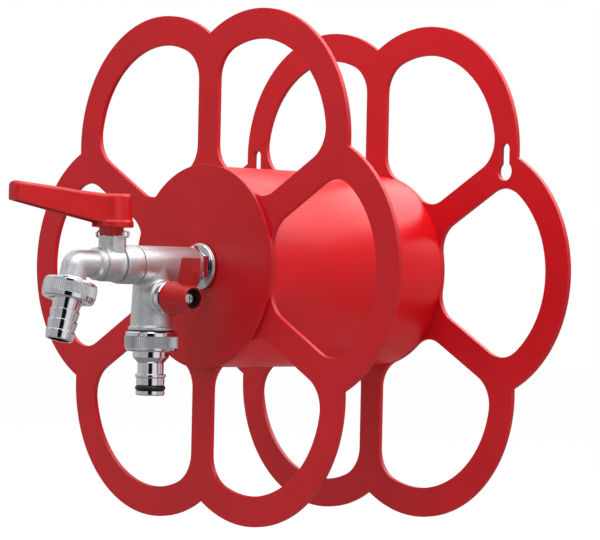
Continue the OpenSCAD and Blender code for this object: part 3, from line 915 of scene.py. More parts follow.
# %% Rear and front plates
def keyhole_outline(entry_r=5.5, slot_half=3.5, rise=13.0, steps=24):
    """A round entry with a slot above it."""
    join = asin(slot_half / entry_r)
    entry = [pi / 2 + join + (2 * pi - 2 * join) * k / steps for k in range(steps + 1)]
    top = [pi * k / (steps // 2) for k in range(steps // 2 + 1)]
    return [(entry_r * cos(a), entry_r * sin(a)) for a in entry] + [
        (slot_half * cos(a), rise + slot_half * sin(a)) for a in top
    ]


rear = petal_plate("rear_petal_plate", SERVICE_R, WALL)
for side in (-1, 1):
    hole_stand = WALL @ Matrix.Translation((side * KEYHOLE_PITCH / 2, KEYHOLE_Z, 0))
    combine(rear, prism("keyhole", keyhole_outline(), -1, PLATE_T + 1, hole_stand), "DIFFERENCE")
complete(rear, "rear_petal_plate", PLATE_PAINT, "holder", "rear_plate")

front_stand = WALL @ Matrix.Translation((0, 0, REEL_DEPTH - PLATE_T))
front = petal_plate("front_petal_plate", SHANK_HOLE_R, front_stand)
complete(front, "front_petal_plate", PLATE_PAINT, "holder", "front_plate")

# %% [markdown]
# ## Drum and cover disc
#
# The drum is a rolled sheet between the plates. The cover disc spreads the tap's load over the
# front plate, and its rim is rolled off a little. Both are round, so the lathe makes them too, with
# twice the usual segments, because a large rim shows its corners sooner.

# %% Drum and cover disc
drum_in = DRUM_R - DRUM_WALL
drum = lathe(
    "drum_shell",
    [(drum_in, PLATE_T), (DRUM_R, PLATE_T), (DRUM_R, REEL_DEPTH - PLATE_T),
     (drum_in, REEL_DEPTH - PLATE_T)],
    WALL, 0.1, 256,
)
complete(drum, "drum_shell", LIT_DRUM_PAINT, "holder", "drum")

disc = lathe(
    "cover_disc",
    [(SHANK_HOLE_R, 0), (DISC_R, 0, 0), (DISC_R, DISC_T, 0.7), (SHANK_HOLE_R, DISC_T)],
    TAP, 0.2, 256,
)
complete(disc, "cover_disc", COVER_PAINT, "holder", "front_disc")

# %% [markdown]
# ## Supply shank and its nut
#
# The tap's shank has a pipe thread, a flange and a hexagon for the spanner. A bump in the finish
# could suggest a thread, but only a ridge shows in the outline. So the thread is a Geometry Nodes
# tree: a spiral with a small diamond run along it.

# %% Thread tree
SPIRAL_STEPS = 40
DIAMOND_SIDES = 4


def thread_tree():
    """A tree that winds a thread round its geometry."""
    inputs = [("Radius", "number"), ("Ridge", "number"), ("Pitch", "number"), ("Turns", "number"),
              ("Start", "number"), ("Finish", "material")]
    tree, given = new_tree("screw_thread", inputs)
    height = maths(tree, "MULTIPLY", given["Pitch"], given["Turns"])
    spiral = node(
        tree, "GeometryNodeCurveSpiral",
        {"Resolution": SPIRAL_STEPS, "Rotations": given["Turns"], "Start Radius": given["Radius"],
         "End Radius": given["Radius"], "Height": height},
    ).outputs[0]
    path = node(tree, "GeometryNodeSetCurveNormal", {"Curve": spiral}, mode="Z_UP").outputs[0]
    section = node(
        tree, "GeometryNodeCurvePrimitiveCircle",
        {"Resolution": DIAMOND_SIDES, "Radius": given["Ridge"]},
    ).outputs[0]
    values = {"Curve": path, "Profile Curve": section, "Fill Caps": True}
    ridge = node(tree, "GeometryNodeCurveToMesh", values).outputs[0]
    joined = lift_onto(tree, ridge, given["Start"], given["Geometry"])
    return end_tree(tree, joined, given["Finish"])


THREAD = thread_tree()
THREAD_DEPTH = 0.55
THREAD_PITCH = 1.814
THREAD_TURNS = 7.9

# %% [markdown]
# The shank is one turned bar with a hexagon left on it. Behind the plate a washer and a nut pull
# it tight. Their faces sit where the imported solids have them.

# %% Shank, washer and lock nut
FIT = 0.05
TUBE_START = 10.2
HEX_START = 5.0
HEX_CORNER_R = 12
FLANGE_START = 2.5
FLANGE_R = 13.5
RELIEF_R, RELIEF_START, RELIEF_END = 9.4, -14, -12.5
LEAD_IN = 0.8
SOCKET_R = 8.5
SOCKET_DEPTH = 7.5
TEE_BORE_R = 6
WASHER_R, WASHER_T = 16, 1.5
LOCK_NUT_CORNER_R, LOCK_NUT_T = 17, 7
RIM_CUT = 1.0

core_r = SHANK_R - THREAD_DEPTH
spigot_r, spigot_end = SOCKET_R - FIT, TUBE_START + SOCKET_DEPTH
shank = lathe(
    "supply_shank",
    [(TEE_BORE_R, -SHANK_END), (core_r - LEAD_IN, -SHANK_END), (core_r, LEAD_IN - SHANK_END),
     (core_r, RELIEF_START), (RELIEF_R, RELIEF_START), (RELIEF_R, RELIEF_END),
     (SHANK_R, RELIEF_END), (SHANK_R, FLANGE_START), (FLANGE_R, FLANGE_START, 0.6),
     (FLANGE_R, 4.1, 0.6), (12.7, 4.3, 0.1), (12.7, 4.55, 0.1), (12.4, HEX_START, 0.3),
     (spigot_r, HEX_START), (spigot_r, spigot_end), (TEE_BORE_R, spigot_end)],
    UPRIGHT,
)
run_tree(shank, THREAD, {
    "Radius": core_r, "Ridge": THREAD_DEPTH, "Pitch": THREAD_PITCH, "Turns": THREAD_TURNS,
    "Start": 1.2 - SHANK_END, "Finish": CHROME,
})
shank.data.transform(TAP)
shank_hex = hexagon(
    "shank_hex", HEX_CORNER_R, HEX_START - 0.2, TUBE_START, RIM_CUT, TAP, SOCKET_R - 0.1
)
shank = gather("supply_shank", [shank, shank_hex])
complete(shank, "supply_shank", CHROME, "holder", "inlet_nipple")

washer_back = -PLATE_T - WASHER_T
washer = lathe(
    "spread_washer",
    [(SHANK_HOLE_R, washer_back), (WASHER_R, washer_back), (WASHER_R, -PLATE_T),
     (SHANK_HOLE_R, -PLATE_T)],
    TAP, 0.3,
)
complete(washer, "spread_washer", ZINC, "holder", "lock_washer")
back_nut = hexagon(
    "back_nut", LOCK_NUT_CORNER_R, washer_back - LOCK_NUT_T, washer_back, RIM_CUT, TAP,
    SHANK_R + FIT,
)
complete(back_nut, "back_nut", BRASS, "holder", "lock_nut")

# %% [markdown]
# ## Castings
#
# The tee, the valve's barrel and the spout are cast, so where two round forms meet, the corner is
# filled softly. A bevel tends to break where two round forms cross, so the tee and the spout are
# joined from bars, remeshed finely and melted a little instead.
# What is machined afterwards stays crisp: the collars, and the barrel with its grooves and its
# six-sided boss. A black rubber gasket fills the gap between the branch's collar and its nut, and
# its black is partly painted shade for that deep gap.

# %% Tee
THREAD_END = 44.9
SIDE_BORE_R = 6.0
BRANCH_BORE_R = 8.2
GAP_SHADE_GASKET_IN = 11.1
PAST = 1
tee = blend_solid(
    "tee_body",
    [
        bar(TAP, TUBE_R - 0.03, TUBE_START, JOINT_D - 1.2, 0.3),
        lathe("branch", [(0, 0), (11, 0), (11, 8), (12.2, 34.6, 0), (0, 34.6)], BRANCH, 0.3, 96),
        lathe(
            "side_boss",
            [(0, 0), (10.9, 0), (10.9, 5), (10.3, 11), (9.8, 11.4), (0, 11.4)], SIDE, 0.3, 96,
        ),
    ],
    [
        bar(TAP, TEE_BORE_R, TUBE_START - PAST, JOINT_D + PAST),
        bar(TAP, SOCKET_R, TUBE_START - PAST, TUBE_START + SOCKET_DEPTH + 0.3),
        bar(TAP, SOCKET_R, JOINT_D - SOCKET_DEPTH, JOINT_D + PAST),
        bar(BRANCH, WATER_R, 0, SIDE_DROP),
        bar(BRANCH, BRANCH_BORE_R, SIDE_DROP - 8.9, THREAD_END + PAST),
        bar(SIDE, 4.7, 0, 9.3),
        bar(SIDE, SIDE_BORE_R, 9.3, 17),
    ],
    0.36, 7,
)
collar = lathe(
    "branch_collar",
    [(BRANCH_BORE_R, 33.5), (11.6, 33.5), (12.25, 34.4), (12.35, 34.9), (13.3, 35.3, 0.25),
     (13.3, 36.9, 0.15), (11.2, 36.9), (11.2, 37.7), (THREAD_R, 37.8), (THREAD_R, THREAD_END),
     (BRANCH_BORE_R, THREAD_END)],
    BRANCH, 0.1,
)
tube_rim = lathe(
    "tube_rim",
    [(SOCKET_R, JOINT_D - 2.6), (TUBE_R, JOINT_D - 2.6), (TUBE_R, JOINT_D, 0.08),
     (SOCKET_R, JOINT_D)],
    TAP, 0.02,
)
side_collar = lathe(
    "side_collar",
    [(SIDE_BORE_R, 10.8), (9.3, 10.8), (9.3, 15.5, 0.25), (8.8, 16, 0.25), (SIDE_BORE_R, 16)],
    SIDE, 0.1,
)
# A black rubber ring in the gap under the branch nut; its black is partly painted shade for the
# gap.
gap_shade_gasket = lathe(
    "gap_shade_gasket", [(GAP_SHADE_GASKET_IN, 36.85), (12.75, 36.85), (12.75, 37.75), (GAP_SHADE_GASKET_IN, 37.75)], BRANCH, 0.1
)
coats = [(tee, NICKEL), (tube_rim, NICKEL), (collar, NICKEL), (side_collar, CHROME),
         (gap_shade_gasket, RUBBER)]
tee = gather("tee_body", [coat(part, material) for part, material in coats])
complete(tee, "tee_body", None, "holder", "tee_casting", weighted=False)

# %% [markdown]
# The valve's barrel is turned after it is cast, so it comes off the lathe with its collar and its
# grooves. The six-sided boss stands on it and carries the stem. Drills open the passages last.

# %% Valve barrel
VALVE_END = VALVE_D + 8.6
SPIGOT_END = VALVE_END + 3.6
SPIGOT_R = 6.8
BOSS_TOP = 14.8
BOSS_FLAT, BOSS_CORNER_R, BOSS_TURN = 7.75, 8.4, 21
r, joint, middle = TUBE_R, JOINT_D, VALVE_D
barrel = lathe(
    "valve_barrel",
    [(0, joint - 7), (spigot_r, joint - 7), (spigot_r, joint), (r - 1.7, joint),
     (r - 1.7, joint + 0.7), (r, joint + 0.75, 0.08), (r + 0.1, joint + 5, 0.6),
     (r, middle - 4.5, 0.6), (r - 0.3, middle - 4, 0.2), (r - 2.2, middle - 3.9),
     (r - 2.2, middle - 2.9), (r - 0.45, middle - 2.7, 0.25), (r - 1, middle - 0.5, 0.8),
     (r - 1.2, middle + 1, 0.8), (r - 1.2, VALVE_END - 0.5, 0.3), (r - 1.6, VALVE_END, 0.2),
     (SPIGOT_R, VALVE_END), (SPIGOT_R, SPIGOT_END), (0, SPIGOT_END)],
    TAP, 0.06,
)
boss_outline = hexagon_corners(BOSS_FLAT / cos(radians(30)), BOSS_TURN)
boss = prism("boss", boss_outline, 0, BOSS_TOP, STEM)
combine(boss, bar(STEM, BOSS_CORNER_R, -1, BOSS_TOP + 1, 0), "INTERSECT")
combine(barrel, boss, "UNION")
for drill in (
    bar(TAP, WATER_R, JOINT_D, SPIGOT_END + 1), bar(TAP, 7.6, JOINT_D - 8, VALVE_D + 6.5),
    bar(STEM, 5.3, 0, 8.8), bar(STEM, 5.9, 8.8, BOSS_TOP + 1),
):
    combine(barrel, drill, "DIFFERENCE")
break_edges(barrel, 0.18, 40)
complete(barrel, "valve_barrel", NICKEL, "holder", "valve_body")

# %% [markdown]
# The spout is a bar that bends down, with a threaded seat for its nut. A bend is a lathe's part
# turned: a circle swept through part of a turn about a point beside it. The collar that slides
# over the valve's end is machined, so it is added crisp after the rest has melted.

# %% Spout bend
SPIGOT_HOLE_R = 6.85
LAP = 0.002
RIM_STEPS = 48
spout_bend = radians(90 - SPOUT_TILT)
bend_run = BEND_R * tan(spout_bend / 2)
bend_stand = (
    place(y=-REEL_DEPTH - SPOUT_D + bend_run, z=-BEND_R)
    @ Matrix.Rotation(pi, 4, "Z")
    @ Matrix.Rotation(-pi / 2, 4, "Y")
)


def bend_form(radius):
    """The bend for a bar of that radius, lapping a little past both its ends."""
    cut = acos(-BEND_R / radius)
    rim = [-cut + 2 * cut * k / RIM_STEPS for k in range(RIM_STEPS + 1)]
    outline = [(BEND_R + radius * cos(a), radius * sin(a)) for a in rim]
    lapped = bend_stand @ Matrix.Rotation(-LAP, 4, "Z")
    return lathe("bend", outline, lapped, 0, 40, spout_bend + 2 * LAP)


SPOUT_THREAD_START = NUT_START - 1.6
spout = blend_solid(
    "spout_bend",
    [
        bar(TAP, SPOUT_R, VALVE_END + 1, SPOUT_D - bend_run),
        bend_form(SPOUT_R),
        bar(SPOUT, SPOUT_R, bend_run, NUT_START + 0.5),
        lathe(
            "seat",
            [(0, SPOUT_THREAD_START), (SPOUT_R - 0.2, SPOUT_THREAD_START), (12.1, NUT_START - 0.2),
             (THREAD_R, NUT_START + 0.6), (THREAD_R, NUT_START + 6), (0, NUT_START + 6)],
            SPOUT, 0.1, 96,
        ),
    ],
    [
        bar(TAP, SPIGOT_HOLE_R, VALVE_END, SPIGOT_END + 0.1),
        bar(TAP, WATER_R, VALVE_END, SPOUT_D - bend_run),
        bend_form(WATER_R),
        bar(SPOUT, WATER_R, bend_run, NUT_START + 7),
    ],
    0.3, 4,
)
spout_collar = lathe(
    "spout_collar",
    [(SPIGOT_HOLE_R, VALVE_END), (8.6, VALVE_END), (8.6, VALVE_END + 0.7),
     (9.4, VALVE_END + 0.9, 0.12), (9.15, SPIGOT_END + 0.3, 0.3), (7.4, SPIGOT_END + 1.6, 0.3),
     (SPIGOT_HOLE_R, SPIGOT_END + 1.6)],
    TAP, 0.05,
)
spout = gather("spout_bend", [spout, spout_collar])
complete(spout, "spout_bend", NICKEL, "holder", "spout_elbow", weighted=False)

# %% [markdown]
# ## Union nuts
#
# A union nut is turned, with a knurled band to grip. Its ridges could be cut one by one. A Geometry
# Nodes tree is quicker, and their number and height are inputs: it stands a thin diamond bar at
# each ridge, half sunk in the nut.

# %% Knurl tree
KNURL_HEIGHT = 0.55
KNURL_RIDGES = 76


def knurl_tree():
    """A tree that sets upright ridges round its geometry."""
    inputs = [("Radius", "number"), ("Ridges", "count"), ("Ridge height", "number"),
              ("Middle", "number"), ("Length", "number"), ("Finish", "material")]
    tree, given = new_tree("knurled_band", inputs)
    values = {"Vertices": given["Ridges"], "Radius": given["Radius"]}
    circle = node(tree, "GeometryNodeMeshCircle", values).outputs[0]
    values = {"Vertices": DIAMOND_SIDES, "Radius": 1.0, "Depth": 1.0}
    diamond = node(tree, "GeometryNodeMeshCylinder", values).outputs[0]
    step = maths(tree, "DIVIDE", 2 * pi, given["Ridges"])
    half_pitch = maths(tree, "MULTIPLY", maths(tree, "MULTIPLY", given["Radius"], step), 0.5)
    values = {"X": given["Ridge height"], "Y": half_pitch, "Z": given["Length"]}
    size = node(tree, "ShaderNodeCombineXYZ", values).outputs[0]
    ridges = copies_round(tree, circle, diamond, step, Scale=size)
    joined = lift_onto(tree, ridges, given["Middle"], given["Geometry"])
    return end_tree(tree, joined, given["Finish"])


KNURL = knurl_tree()

# %% [markdown]
# The nut's body and its knurled band are two shells in one piece. The band is a little duller,
# because a knurl's many small faces scatter the light.

# %% Union nuts
FOOT_R = 14.3
LIP = 1.3
LIP_R = 10.6


def union_nut(name, start, height, head, foot, stand):
    """A turned nut: a plain rim at its head, a knurled band, and a foot that narrows."""
    end = start + height
    band_r, nut_bore = NUT_R - KNURL_HEIGHT, THREAD_R + FIT
    body = lathe(
        name,
        [(nut_bore, start), (NUT_R - 1.1, start, 0.2), (NUT_R - 0.5, start + 0.7, 0.3),
         (NUT_R - 0.45, start + head - 0.3), (band_r - 0.4, start + head),
         (band_r - 0.4, end - foot), (NUT_R - 0.2, end - foot + 0.2, 0.15),
         (FOOT_R + 0.3, end - 0.8, 0.3), (FOOT_R - 0.5, end, 0.2), (LIP_R, end),
         (LIP_R, end - LIP), (nut_bore, end - LIP)],
        UPRIGHT, 0.1,
    )
    low, high = start + head - 0.1, end - foot + 0.1
    band_in = THREAD_R + 0.4
    band = lathe(
        "band", [(band_in, low), (band_r, low), (band_r, high), (band_in, high)], UPRIGHT, 0.05
    )
    run_tree(band, KNURL, {
        "Radius": band_r, "Ridges": KNURL_RIDGES, "Ridge height": KNURL_HEIGHT,
        "Middle": (low + high) / 2, "Length": high - low, "Finish": KNURLED,
    })
    made = gather(name, [coat(body, CHROME), coat(band, KNURLED)])
    made.data.transform(stand)
    return made


BRANCH_NUT_START = 37.8
spout_nut = union_nut("spout_union_nut", NUT_START, 11.0, 2.2, 3.3, SPOUT)
complete(spout_nut, "spout_union_nut", None, "holder", "spout_nut")
branch_nut = union_nut("branch_union_nut", BRANCH_NUT_START, 11.3, 2.9, 2.2, BRANCH)
complete(branch_nut, "branch_union_nut", None, "holder", "branch_nut")

# %% [markdown]
# ## Hose tail
#
# The tail is turned from bar, and a flange at its top is held by the union nut. Its ridges slope so
# that a hose slides on easily and holds when pulled, so each is three corners of one outline.

# %% Hose tail
TAIL_BORE_R, ROOT_R, CREST_R = 6.2, 7.6, 8.3
FIRST_RIDGE, RIDGE_PITCH, BARB_END = 26.8, 5.9, 43.9
RIDGES = 3
SEAT_R = THREAD_R - 0.5
tail_seat = NUT_START + 7.4
barb = []
for i in range(RIDGES):
    step = FIRST_RIDGE + RIDGE_PITCH * i
    barb += [(ROOT_R, step, 0.05), (CREST_R, step + 0.15, 0.2), (CREST_R, step + 1.2, 0.5)]
tail = lathe(
    "barbed_tail",
    [(TAIL_BORE_R, tail_seat), (SEAT_R, tail_seat), (SEAT_R, tail_seat + 2.3),
     (CREST_R, tail_seat + 2.3), (CREST_R, tail_seat + 3.3, 0.5), *barb,
     (7.75, BARB_END - 0.5, 0.3), (7.3, BARB_END, 0.3), (TAIL_BORE_R, BARB_END, 0.2)],
    SPOUT, 0.15,
)
complete(tail, "barbed_tail", CHROME, "holder", "hose_tail")

# %% [markdown]
# ## Coupling nipple
#
# The nipple is turned as well. It has a collar that the coupling's claws grip and a groove near
# its end, in which a rubber ring seals. The ring is a small circle, spun on the same lathe.

# %% Coupling nipple and its sealing ring
GROOVE, GROOVE_HALF, GROOVE_FLOOR_R = 69.85, 1.65, 5.5
NIPPLE_BORE_R, NIPPLE_END = 4.5, 74.1
groove_low, groove_high = GROOVE - GROOVE_HALF, GROOVE + GROOVE_HALF
nipple_seat = THREAD_END + 1.2
nipple = lathe(
    "coupling_nipple",
    [(NIPPLE_BORE_R, nipple_seat), (SEAT_R, nipple_seat), (SEAT_R, nipple_seat + 1.7),
     (10.35, nipple_seat + 1.7), (10.35, 52.4, 0.5), (7.5, 55.6, 0.6), (7.5, 61.9, 0.2),
     (8.8, 62.1, 0.3), (8.8, 63.5, 0.3), (8.1, 64.2), (8.1, groove_low),
     (GROOVE_FLOOR_R, groove_low), (GROOVE_FLOOR_R, groove_high), (8.3, groove_high),
     (8.3, 73.4, 0.5), (7.9, NIPPLE_END, 0.4), (NIPPLE_BORE_R, NIPPLE_END)],
    BRANCH, 0.15,
)
complete(nipple, "coupling_nipple", CHROME, "holder", "quick_nipple")

RING_R, RING_MIDDLE_R, RING_STEPS = 1.6, 7.1, 24
turns = [2 * pi * k / RING_STEPS for k in range(RING_STEPS)]
outline = [(RING_MIDDLE_R + RING_R * cos(a), GROOVE + RING_R * sin(a), 0) for a in turns]
ring = lathe("sealing_ring", outline, BRANCH)
complete(
    ring, "sealing_ring", RUBBER, "holder", "nipple_ring", sharp=0, weighted=False
)

# %% [markdown]
# ## Padlock plate
#
# A stamped plate with two upright ears sits on the boss, so that a padlock can hold the tap shut.
# A stamping is a flat curve with a thickness, and a small bevel breaks its edges.

# %% Stamping
def stamped(name, outlines, thickness, edge, stand):
    """A flat stamping from closed outlines, with its edges broken."""
    curve = bpy.data.curves.new(name, "CURVE")
    curve.dimensions, curve.fill_mode = "2D", "BOTH"
    curve.bevel_depth, curve.bevel_resolution, curve.offset = edge, 1, -edge
    curve.extrude = thickness / 2 - edge
    for outline in outlines:
        spline = curve.splines.new("POLY")
        spline.points.add(len(outline) - 1)
        for point, (x, y) in zip(spline.points, outline):
            point.co = (x, y, 0, 1)
        spline.use_cyclic_u = True
    drawn = bpy.data.objects.new(name, curve)
    scene.collection.objects.link(drawn)
    view = bpy.context.evaluated_depsgraph_get()
    bm = bmesh.new()
    bm.from_mesh(drawn.evaluated_get(view).to_mesh())
    bpy.data.objects.remove(drawn)
    bm.transform(stand)
    return from_bmesh(name, bm)


def arc(x, y, radius, start, end, steps):
    """Points along an arc, in degrees."""
    turns = [radians(start + (end - start) * k / steps) for k in range(steps + 1)]
    return [(x + radius * cos(a), y + radius * sin(a)) for a in turns]


def hole(x, y, radius):
    """A round hole for a stamping, run the other way round than its outline."""
    return arc(x, y, radius, 360, 15, 23)


# %% [markdown]
# The base is a disc with a tab to each side. At the end of each tab an ear stands up, with a hole
# for the padlock's shackle.

# %% Padlock plate
PLATE_LOW, PLATE_THICK = 14.8, 0.9
PLATE_DISC_R = 6.9
STEM_HOLE_R = 3.56
TAB_HALF = 1.2
EAR_X, EAR_Z = 12.6, 17.0
EAR_T, EAR_R = 1.2, 2.3
SHACKLE_HOLE_R = 1.1
CURVE_STEPS = 28


def tab_turn(radius):
    """The turn, in degrees, at which a tab's side meets a circle of that radius."""
    return asin(TAB_HALF / radius) * 180 / pi


turn = tab_turn(PLATE_DISC_R)
base_outline = [(EAR_X, -TAB_HALF), (EAR_X, TAB_HALF)]
base_outline += arc(0, 0, PLATE_DISC_R, turn, 180 - turn, CURVE_STEPS)
base_outline += [(-EAR_X, TAB_HALF), (-EAR_X, -TAB_HALF)]
base_outline += arc(0, 0, PLATE_DISC_R, 180 + turn, 360 - turn, CURVE_STEPS)
stem_hole = hole(0, 0, STEM_HOLE_R)
base_stand = STEM @ Matrix.Translation((0, 0, PLATE_LOW + PLATE_THICK / 2))
flat_plate = stamped("plate", [base_outline, stem_hole], PLATE_THICK, 0.12, base_stand)
turn = tab_turn(EAR_R)
ear_outline = [(-TAB_HALF, PLATE_LOW), (TAB_HALF, PLATE_LOW)]
ear_outline += arc(0, EAR_Z, EAR_R, turn - 90, 270 - turn, CURVE_STEPS)
ear_hole = hole(0, EAR_Z, SHACKLE_HOLE_R)
ears = []
for x in (EAR_X - EAR_T / 2, EAR_T / 2 - EAR_X):
    ear_stand = STEM @ Matrix.Translation((x, 0, 0)) @ Matrix.Rotation(pi / 2, 4, "Z")
    ear_stand = ear_stand @ Matrix.Rotation(pi / 2, 4, "X")
    ears.append(stamped("ear", [ear_outline, ear_hole], EAR_T, 0.2, ear_stand))
padlock = gather("padlock_plate", [flat_plate, *ears])
complete(padlock, "padlock_plate", ZINC, "holder", "stop_plate")

# %% [markdown]
# ## Lever
#
# The long lever is a hollow moulding: a tapered hub with a skirt, and an arm like an upturned
# trough that rises towards its tip. The arm is lofted through rounded sections, and the same loft,
# a wall thinner, hollows it.

# %% Sections of the arm
ARM_START, ARM_TIP = 4, 71.0
ARM_STATIONS = [
    (ARM_START, 5.6, 22.2, 39.8), (8, 5.6, 22.6, 39.8), (27, 5.6, 26.0, 40.9),
    (41, 5.35, 28.5, 42.3), (ARM_TIP, 4.8, 34.0, 44.7),
]
ARM_CORNER, CORNER_STEPS = 2.0, 6
ARM_CROWN, CROWN_STEPS = 0.5, 8


def arm_size(run):
    """The arm's half width, underside and top at a distance from the stem."""
    for near, far in zip(ARM_STATIONS, ARM_STATIONS[1:]):
        if run <= far[0]:
            share = max(0.0, (run - near[0]) / (far[0] - near[0]))
            return [a + (b - a) * share for a, b in zip(near[1:], far[1:])]
    return list(ARM_STATIONS[-1][1:])


def arm_section(half_w, low, high, corner):
    """A section of the arm: square below, rounded above, with a slightly crowned top."""
    corner = min(corner, half_w * 0.6)
    side_top = high - ARM_CROWN - corner
    inner = half_w - corner
    bend = [pi / 2 * k / CORNER_STEPS for k in range(CORNER_STEPS + 1)]
    rise = [(inner + corner * cos(b), side_top + corner * sin(b)) for b in bend]
    across = [1 - 2 * k / CROWN_STEPS for k in range(1, CROWN_STEPS)]
    top = [(inner * t, high - ARM_CROWN * t ** 2) for t in across]
    return [(half_w, low), *rise, *top, *[(-x, z) for x, z in rise[::-1]], (-half_w, low)]


print("half width, underside and top at the tip, mm:", *arm_size(ARM_TIP))

# %% [markdown]
# The sections are then joined by faces. Towards the tip they get narrower and lower along a quarter
# circle, which rounds the end of the arm in both directions without a bevel.

# %% Loft of the arm
TIP_CORNER, TIP_STEPS = 2.6, 8
STRAIGHT_STEPS = 14
OPEN_BELOW = 6


def loft(name, sections):
    """A closed skin over sections of (distance out, outline), with both ends filled."""
    bm = bmesh.new()
    rings = [[bm.verts.new((x, -run, z)) for x, z in outline] for run, outline in sections]
    for near, far in zip(rings, rings[1:]):
        for i in range(len(near)):
            j = (i + 1) % len(near)
            bm.faces.new((near[i], near[j], far[j], far[i]))
    bm.faces.new(rings[0])
    bm.faces.new(rings[-1])
    bm.transform(STEM)
    return from_bmesh(name, bm)


def arm_form(wall=0.0):
    """The arm, or with a wall the hollow under it, with rounded corners at its tip."""
    corner = TIP_CORNER - wall * 0.5
    straight_end = ARM_TIP - wall - corner
    length = straight_end - ARM_START
    runs = [(ARM_START + length * k / STRAIGHT_STEPS, 0.0) for k in range(STRAIGHT_STEPS + 1)]
    bend = [pi / 2 * k / TIP_STEPS for k in range(1, TIP_STEPS + 1)]
    runs += [(straight_end + corner * sin(b), corner * (1 - cos(b))) for b in bend]
    sections = []
    for run, inset in runs:
        half_w, low, high = arm_size(run)
        half_w, high = half_w - wall - inset, high - wall - 0.6 * inset
        if wall:
            low -= OPEN_BELOW
        sections.append((run, arm_section(half_w, low, high, ARM_CORNER - wall * 0.5)))
    return loft("arm", sections)


# %% [markdown]
# The hub, the neck that holds the stem and the arm melt into one moulding. The hollow stops short
# of the hub's middle, where the stem's square and the cap screw need material round them.

# %% Lever
ARM_WALL = 1.8
CAP_SEAT = 34.6
SCREW_HOLE_R = 2.1


def rectangle(half_x, half_y):
    """The corners of a rectangle about the origin."""
    return [(half_x, half_y), (-half_x, half_y), (-half_x, -half_y), (half_x, -half_y)]


hollow = arm_form(ARM_WALL)
combine(hollow, bar(STEM, 10, 10, 45), "DIFFERENCE")
square = rectangle(2.65, 2.65)
neck = [tuple(p) for p in soften(rectangle(6, 5.2), 2.2, 6)]
notch = [(7, 6), (3.9, 6), (3.9, 0.9), (7, 0.9)]
lever = blend_solid(
    "lever",
    [
        lathe(
            "hub",
            [(0, 20.7), (11.8, 20.7), (11.8, 24.0), (11.25, 24.4), (10.1, 38.2), (9.0, 39.6),
             (0, 39.6)],
            STEM, 0.3, 96,
        ),
        prism("neck", neck, 16, 22, STEM),
        arm_form(),
    ],
    [
        hollow,
        prism("notch", notch, 15, 20.7, STEM),
        prism("square", square, 15, 28.7, STEM),
        bar(STEM, SCREW_HOLE_R, 28, 43),
        bar(STEM, 4.6, CAP_SEAT, 46),
    ],
    0.36, 4,
)
complete(lever, "long_lever", LEVER_RED, "main_valve", "main_lever", weighted=False)

# %% [markdown]
# ## Side knob and the two screws
#
# The side outlet has a small tapered knob with a wing on it, held by a screw deep in its end. A
# dark lining in that recess is painted shade: it stands for the shadow deep in the moulded hole.

# %% Side knob
KNOB_SEAT = 30.4
WING_HALF_T = 2.6
WING_TOP = 4.5
wing_outline = [
    (24.6, -18.4), (24.6, -10.6), (27.8, WING_TOP), (38.6, WING_TOP), (38.2, -4), (36.0, -10.6),
    (36.0, -18.4),
]
wing_stand = place(y=-REEL_DEPTH - BRANCH_D, turn=90)
knob = blend_solid(
    "knob",
    [
        lathe(
            "cone",
            [(0, 17), (9.2, 17), (10, 17.8), (6.95, 35.8), (6.5, 36.4), (0, 36.4)], SIDE, 0.3, 96,
        ),
        prism("wing", wing_outline, -WING_HALF_T, WING_HALF_T, wing_stand),
    ],
    [
        bar(SIDE, 5.9, KNOB_SEAT, 40),
        bar(SIDE, SCREW_HOLE_R, 17, 31.5),
        lathe("hollow", [(4.2, 24), (5.6, 24), (5.9, 31), (4.2, 31)], SIDE, 0, 96),
        prism("square", square, 16, 29.7, SIDE),
    ],
    0.27, 4,
)
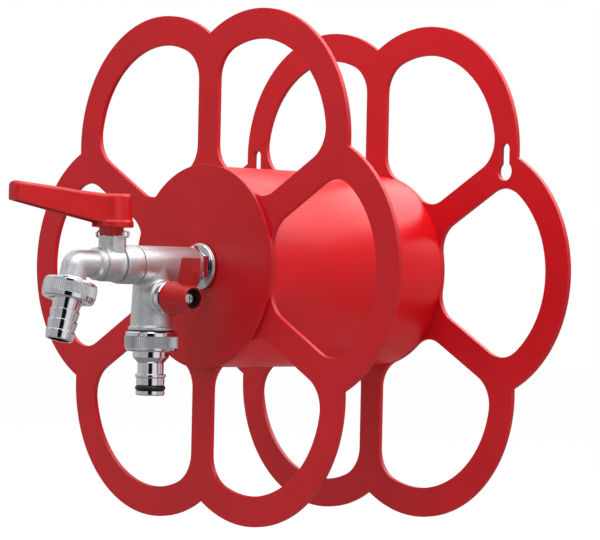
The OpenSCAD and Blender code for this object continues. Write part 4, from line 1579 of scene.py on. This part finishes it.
# Painted shade: a dark sleeve inside the knob's recess, where there is only shadow.
recess_shade_lining = lathe(
    "recess_shade_lining",
    [(4.3, 24.4), (5.3, 24.4), (5.3, 26), (5.75, 26), (5.75, 35.4), (5.5, 35.4), (5.4, 30.45),
     (3.0, 30.45), (3.0, 30.3), (4.3, 30.3)],
    SIDE, 0,
)
knob = gather("knob", [coat(knob, SHADED_KNOB_RED), coat(recess_shade_lining, RECESS_PAINTED_SHADE)])
complete(knob, "side_knob", None, "side_valve", "side_handle", weighted=False)

# %% [markdown]
# Both handles are held by a pan head screw. The lathe turns its head and shaft, and two thin bars,
# crossed, cut the recess for the driver.

# %% Cross-head screws
SCREW_R = 1.55
RECESS_HALF_W, RECESS_DEPTH = 0.45, 1.7


def cross_screw(name, head_r, seat, shaft_l, head_h, stand):
    """A pan head screw with a cross recess."""
    foot, top = seat - shaft_l, seat + head_h
    made = lathe(
        name,
        [(0, foot), (SCREW_R, foot), (SCREW_R, seat), (head_r, seat),
         (head_r, seat + head_h * 0.5, 0.5), (head_r * 0.7, top, 0.8), (0, top)],
        stand, 0.15, 64,
    )
    arm = head_r * 0.58
    for outline in (rectangle(arm, RECESS_HALF_W), rectangle(RECESS_HALF_W, arm)):
        slot = prism("slot", outline, top - RECESS_DEPTH, top + 1, stand)
        combine(made, slot, "DIFFERENCE")
    return made


cap_screw = cross_screw("lever_cap_screw", 4, CAP_SEAT, 14, 2.6, STEM)
complete(cap_screw, "lever_cap_screw", ZINC, "main_valve", "lever_screw")
knob_screw = cross_screw("knob_screw", 3.6, KNOB_SEAT, 9, 2.2, SIDE)
complete(knob_screw, "knob_screw", ZINC, "side_valve", "side_screw")

# %% [markdown]
# ## Inner pieces
#
# Balls, seats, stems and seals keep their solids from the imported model, because nothing of them
# shows. They still get their real finishes.

# %% Finishes of the inner pieces
BY_SLOT = {"chrome": CHROME, "brass": BRASS, "rubber": RUBBER, "seat_white": SEAL_WHITE,
           "zinc": ZINC, "satin_nickel": NICKEL, "lever_red": LEVER_RED,
           "plate_paint": PLATE_PAINT, "drum_paint": LIT_DRUM_PAINT, "cover_paint": COVER_PAINT}
for subpart in frame["record"]["subparts"]:
    solid = frame["nodes"][subpart["node"]]
    for slot in solid.material_slots:
        slot.material = BY_SLOT[subpart["material_slot"]]
print("pieces made:", len(made_pieces), "with", sum(made_pieces.values()), "faces")
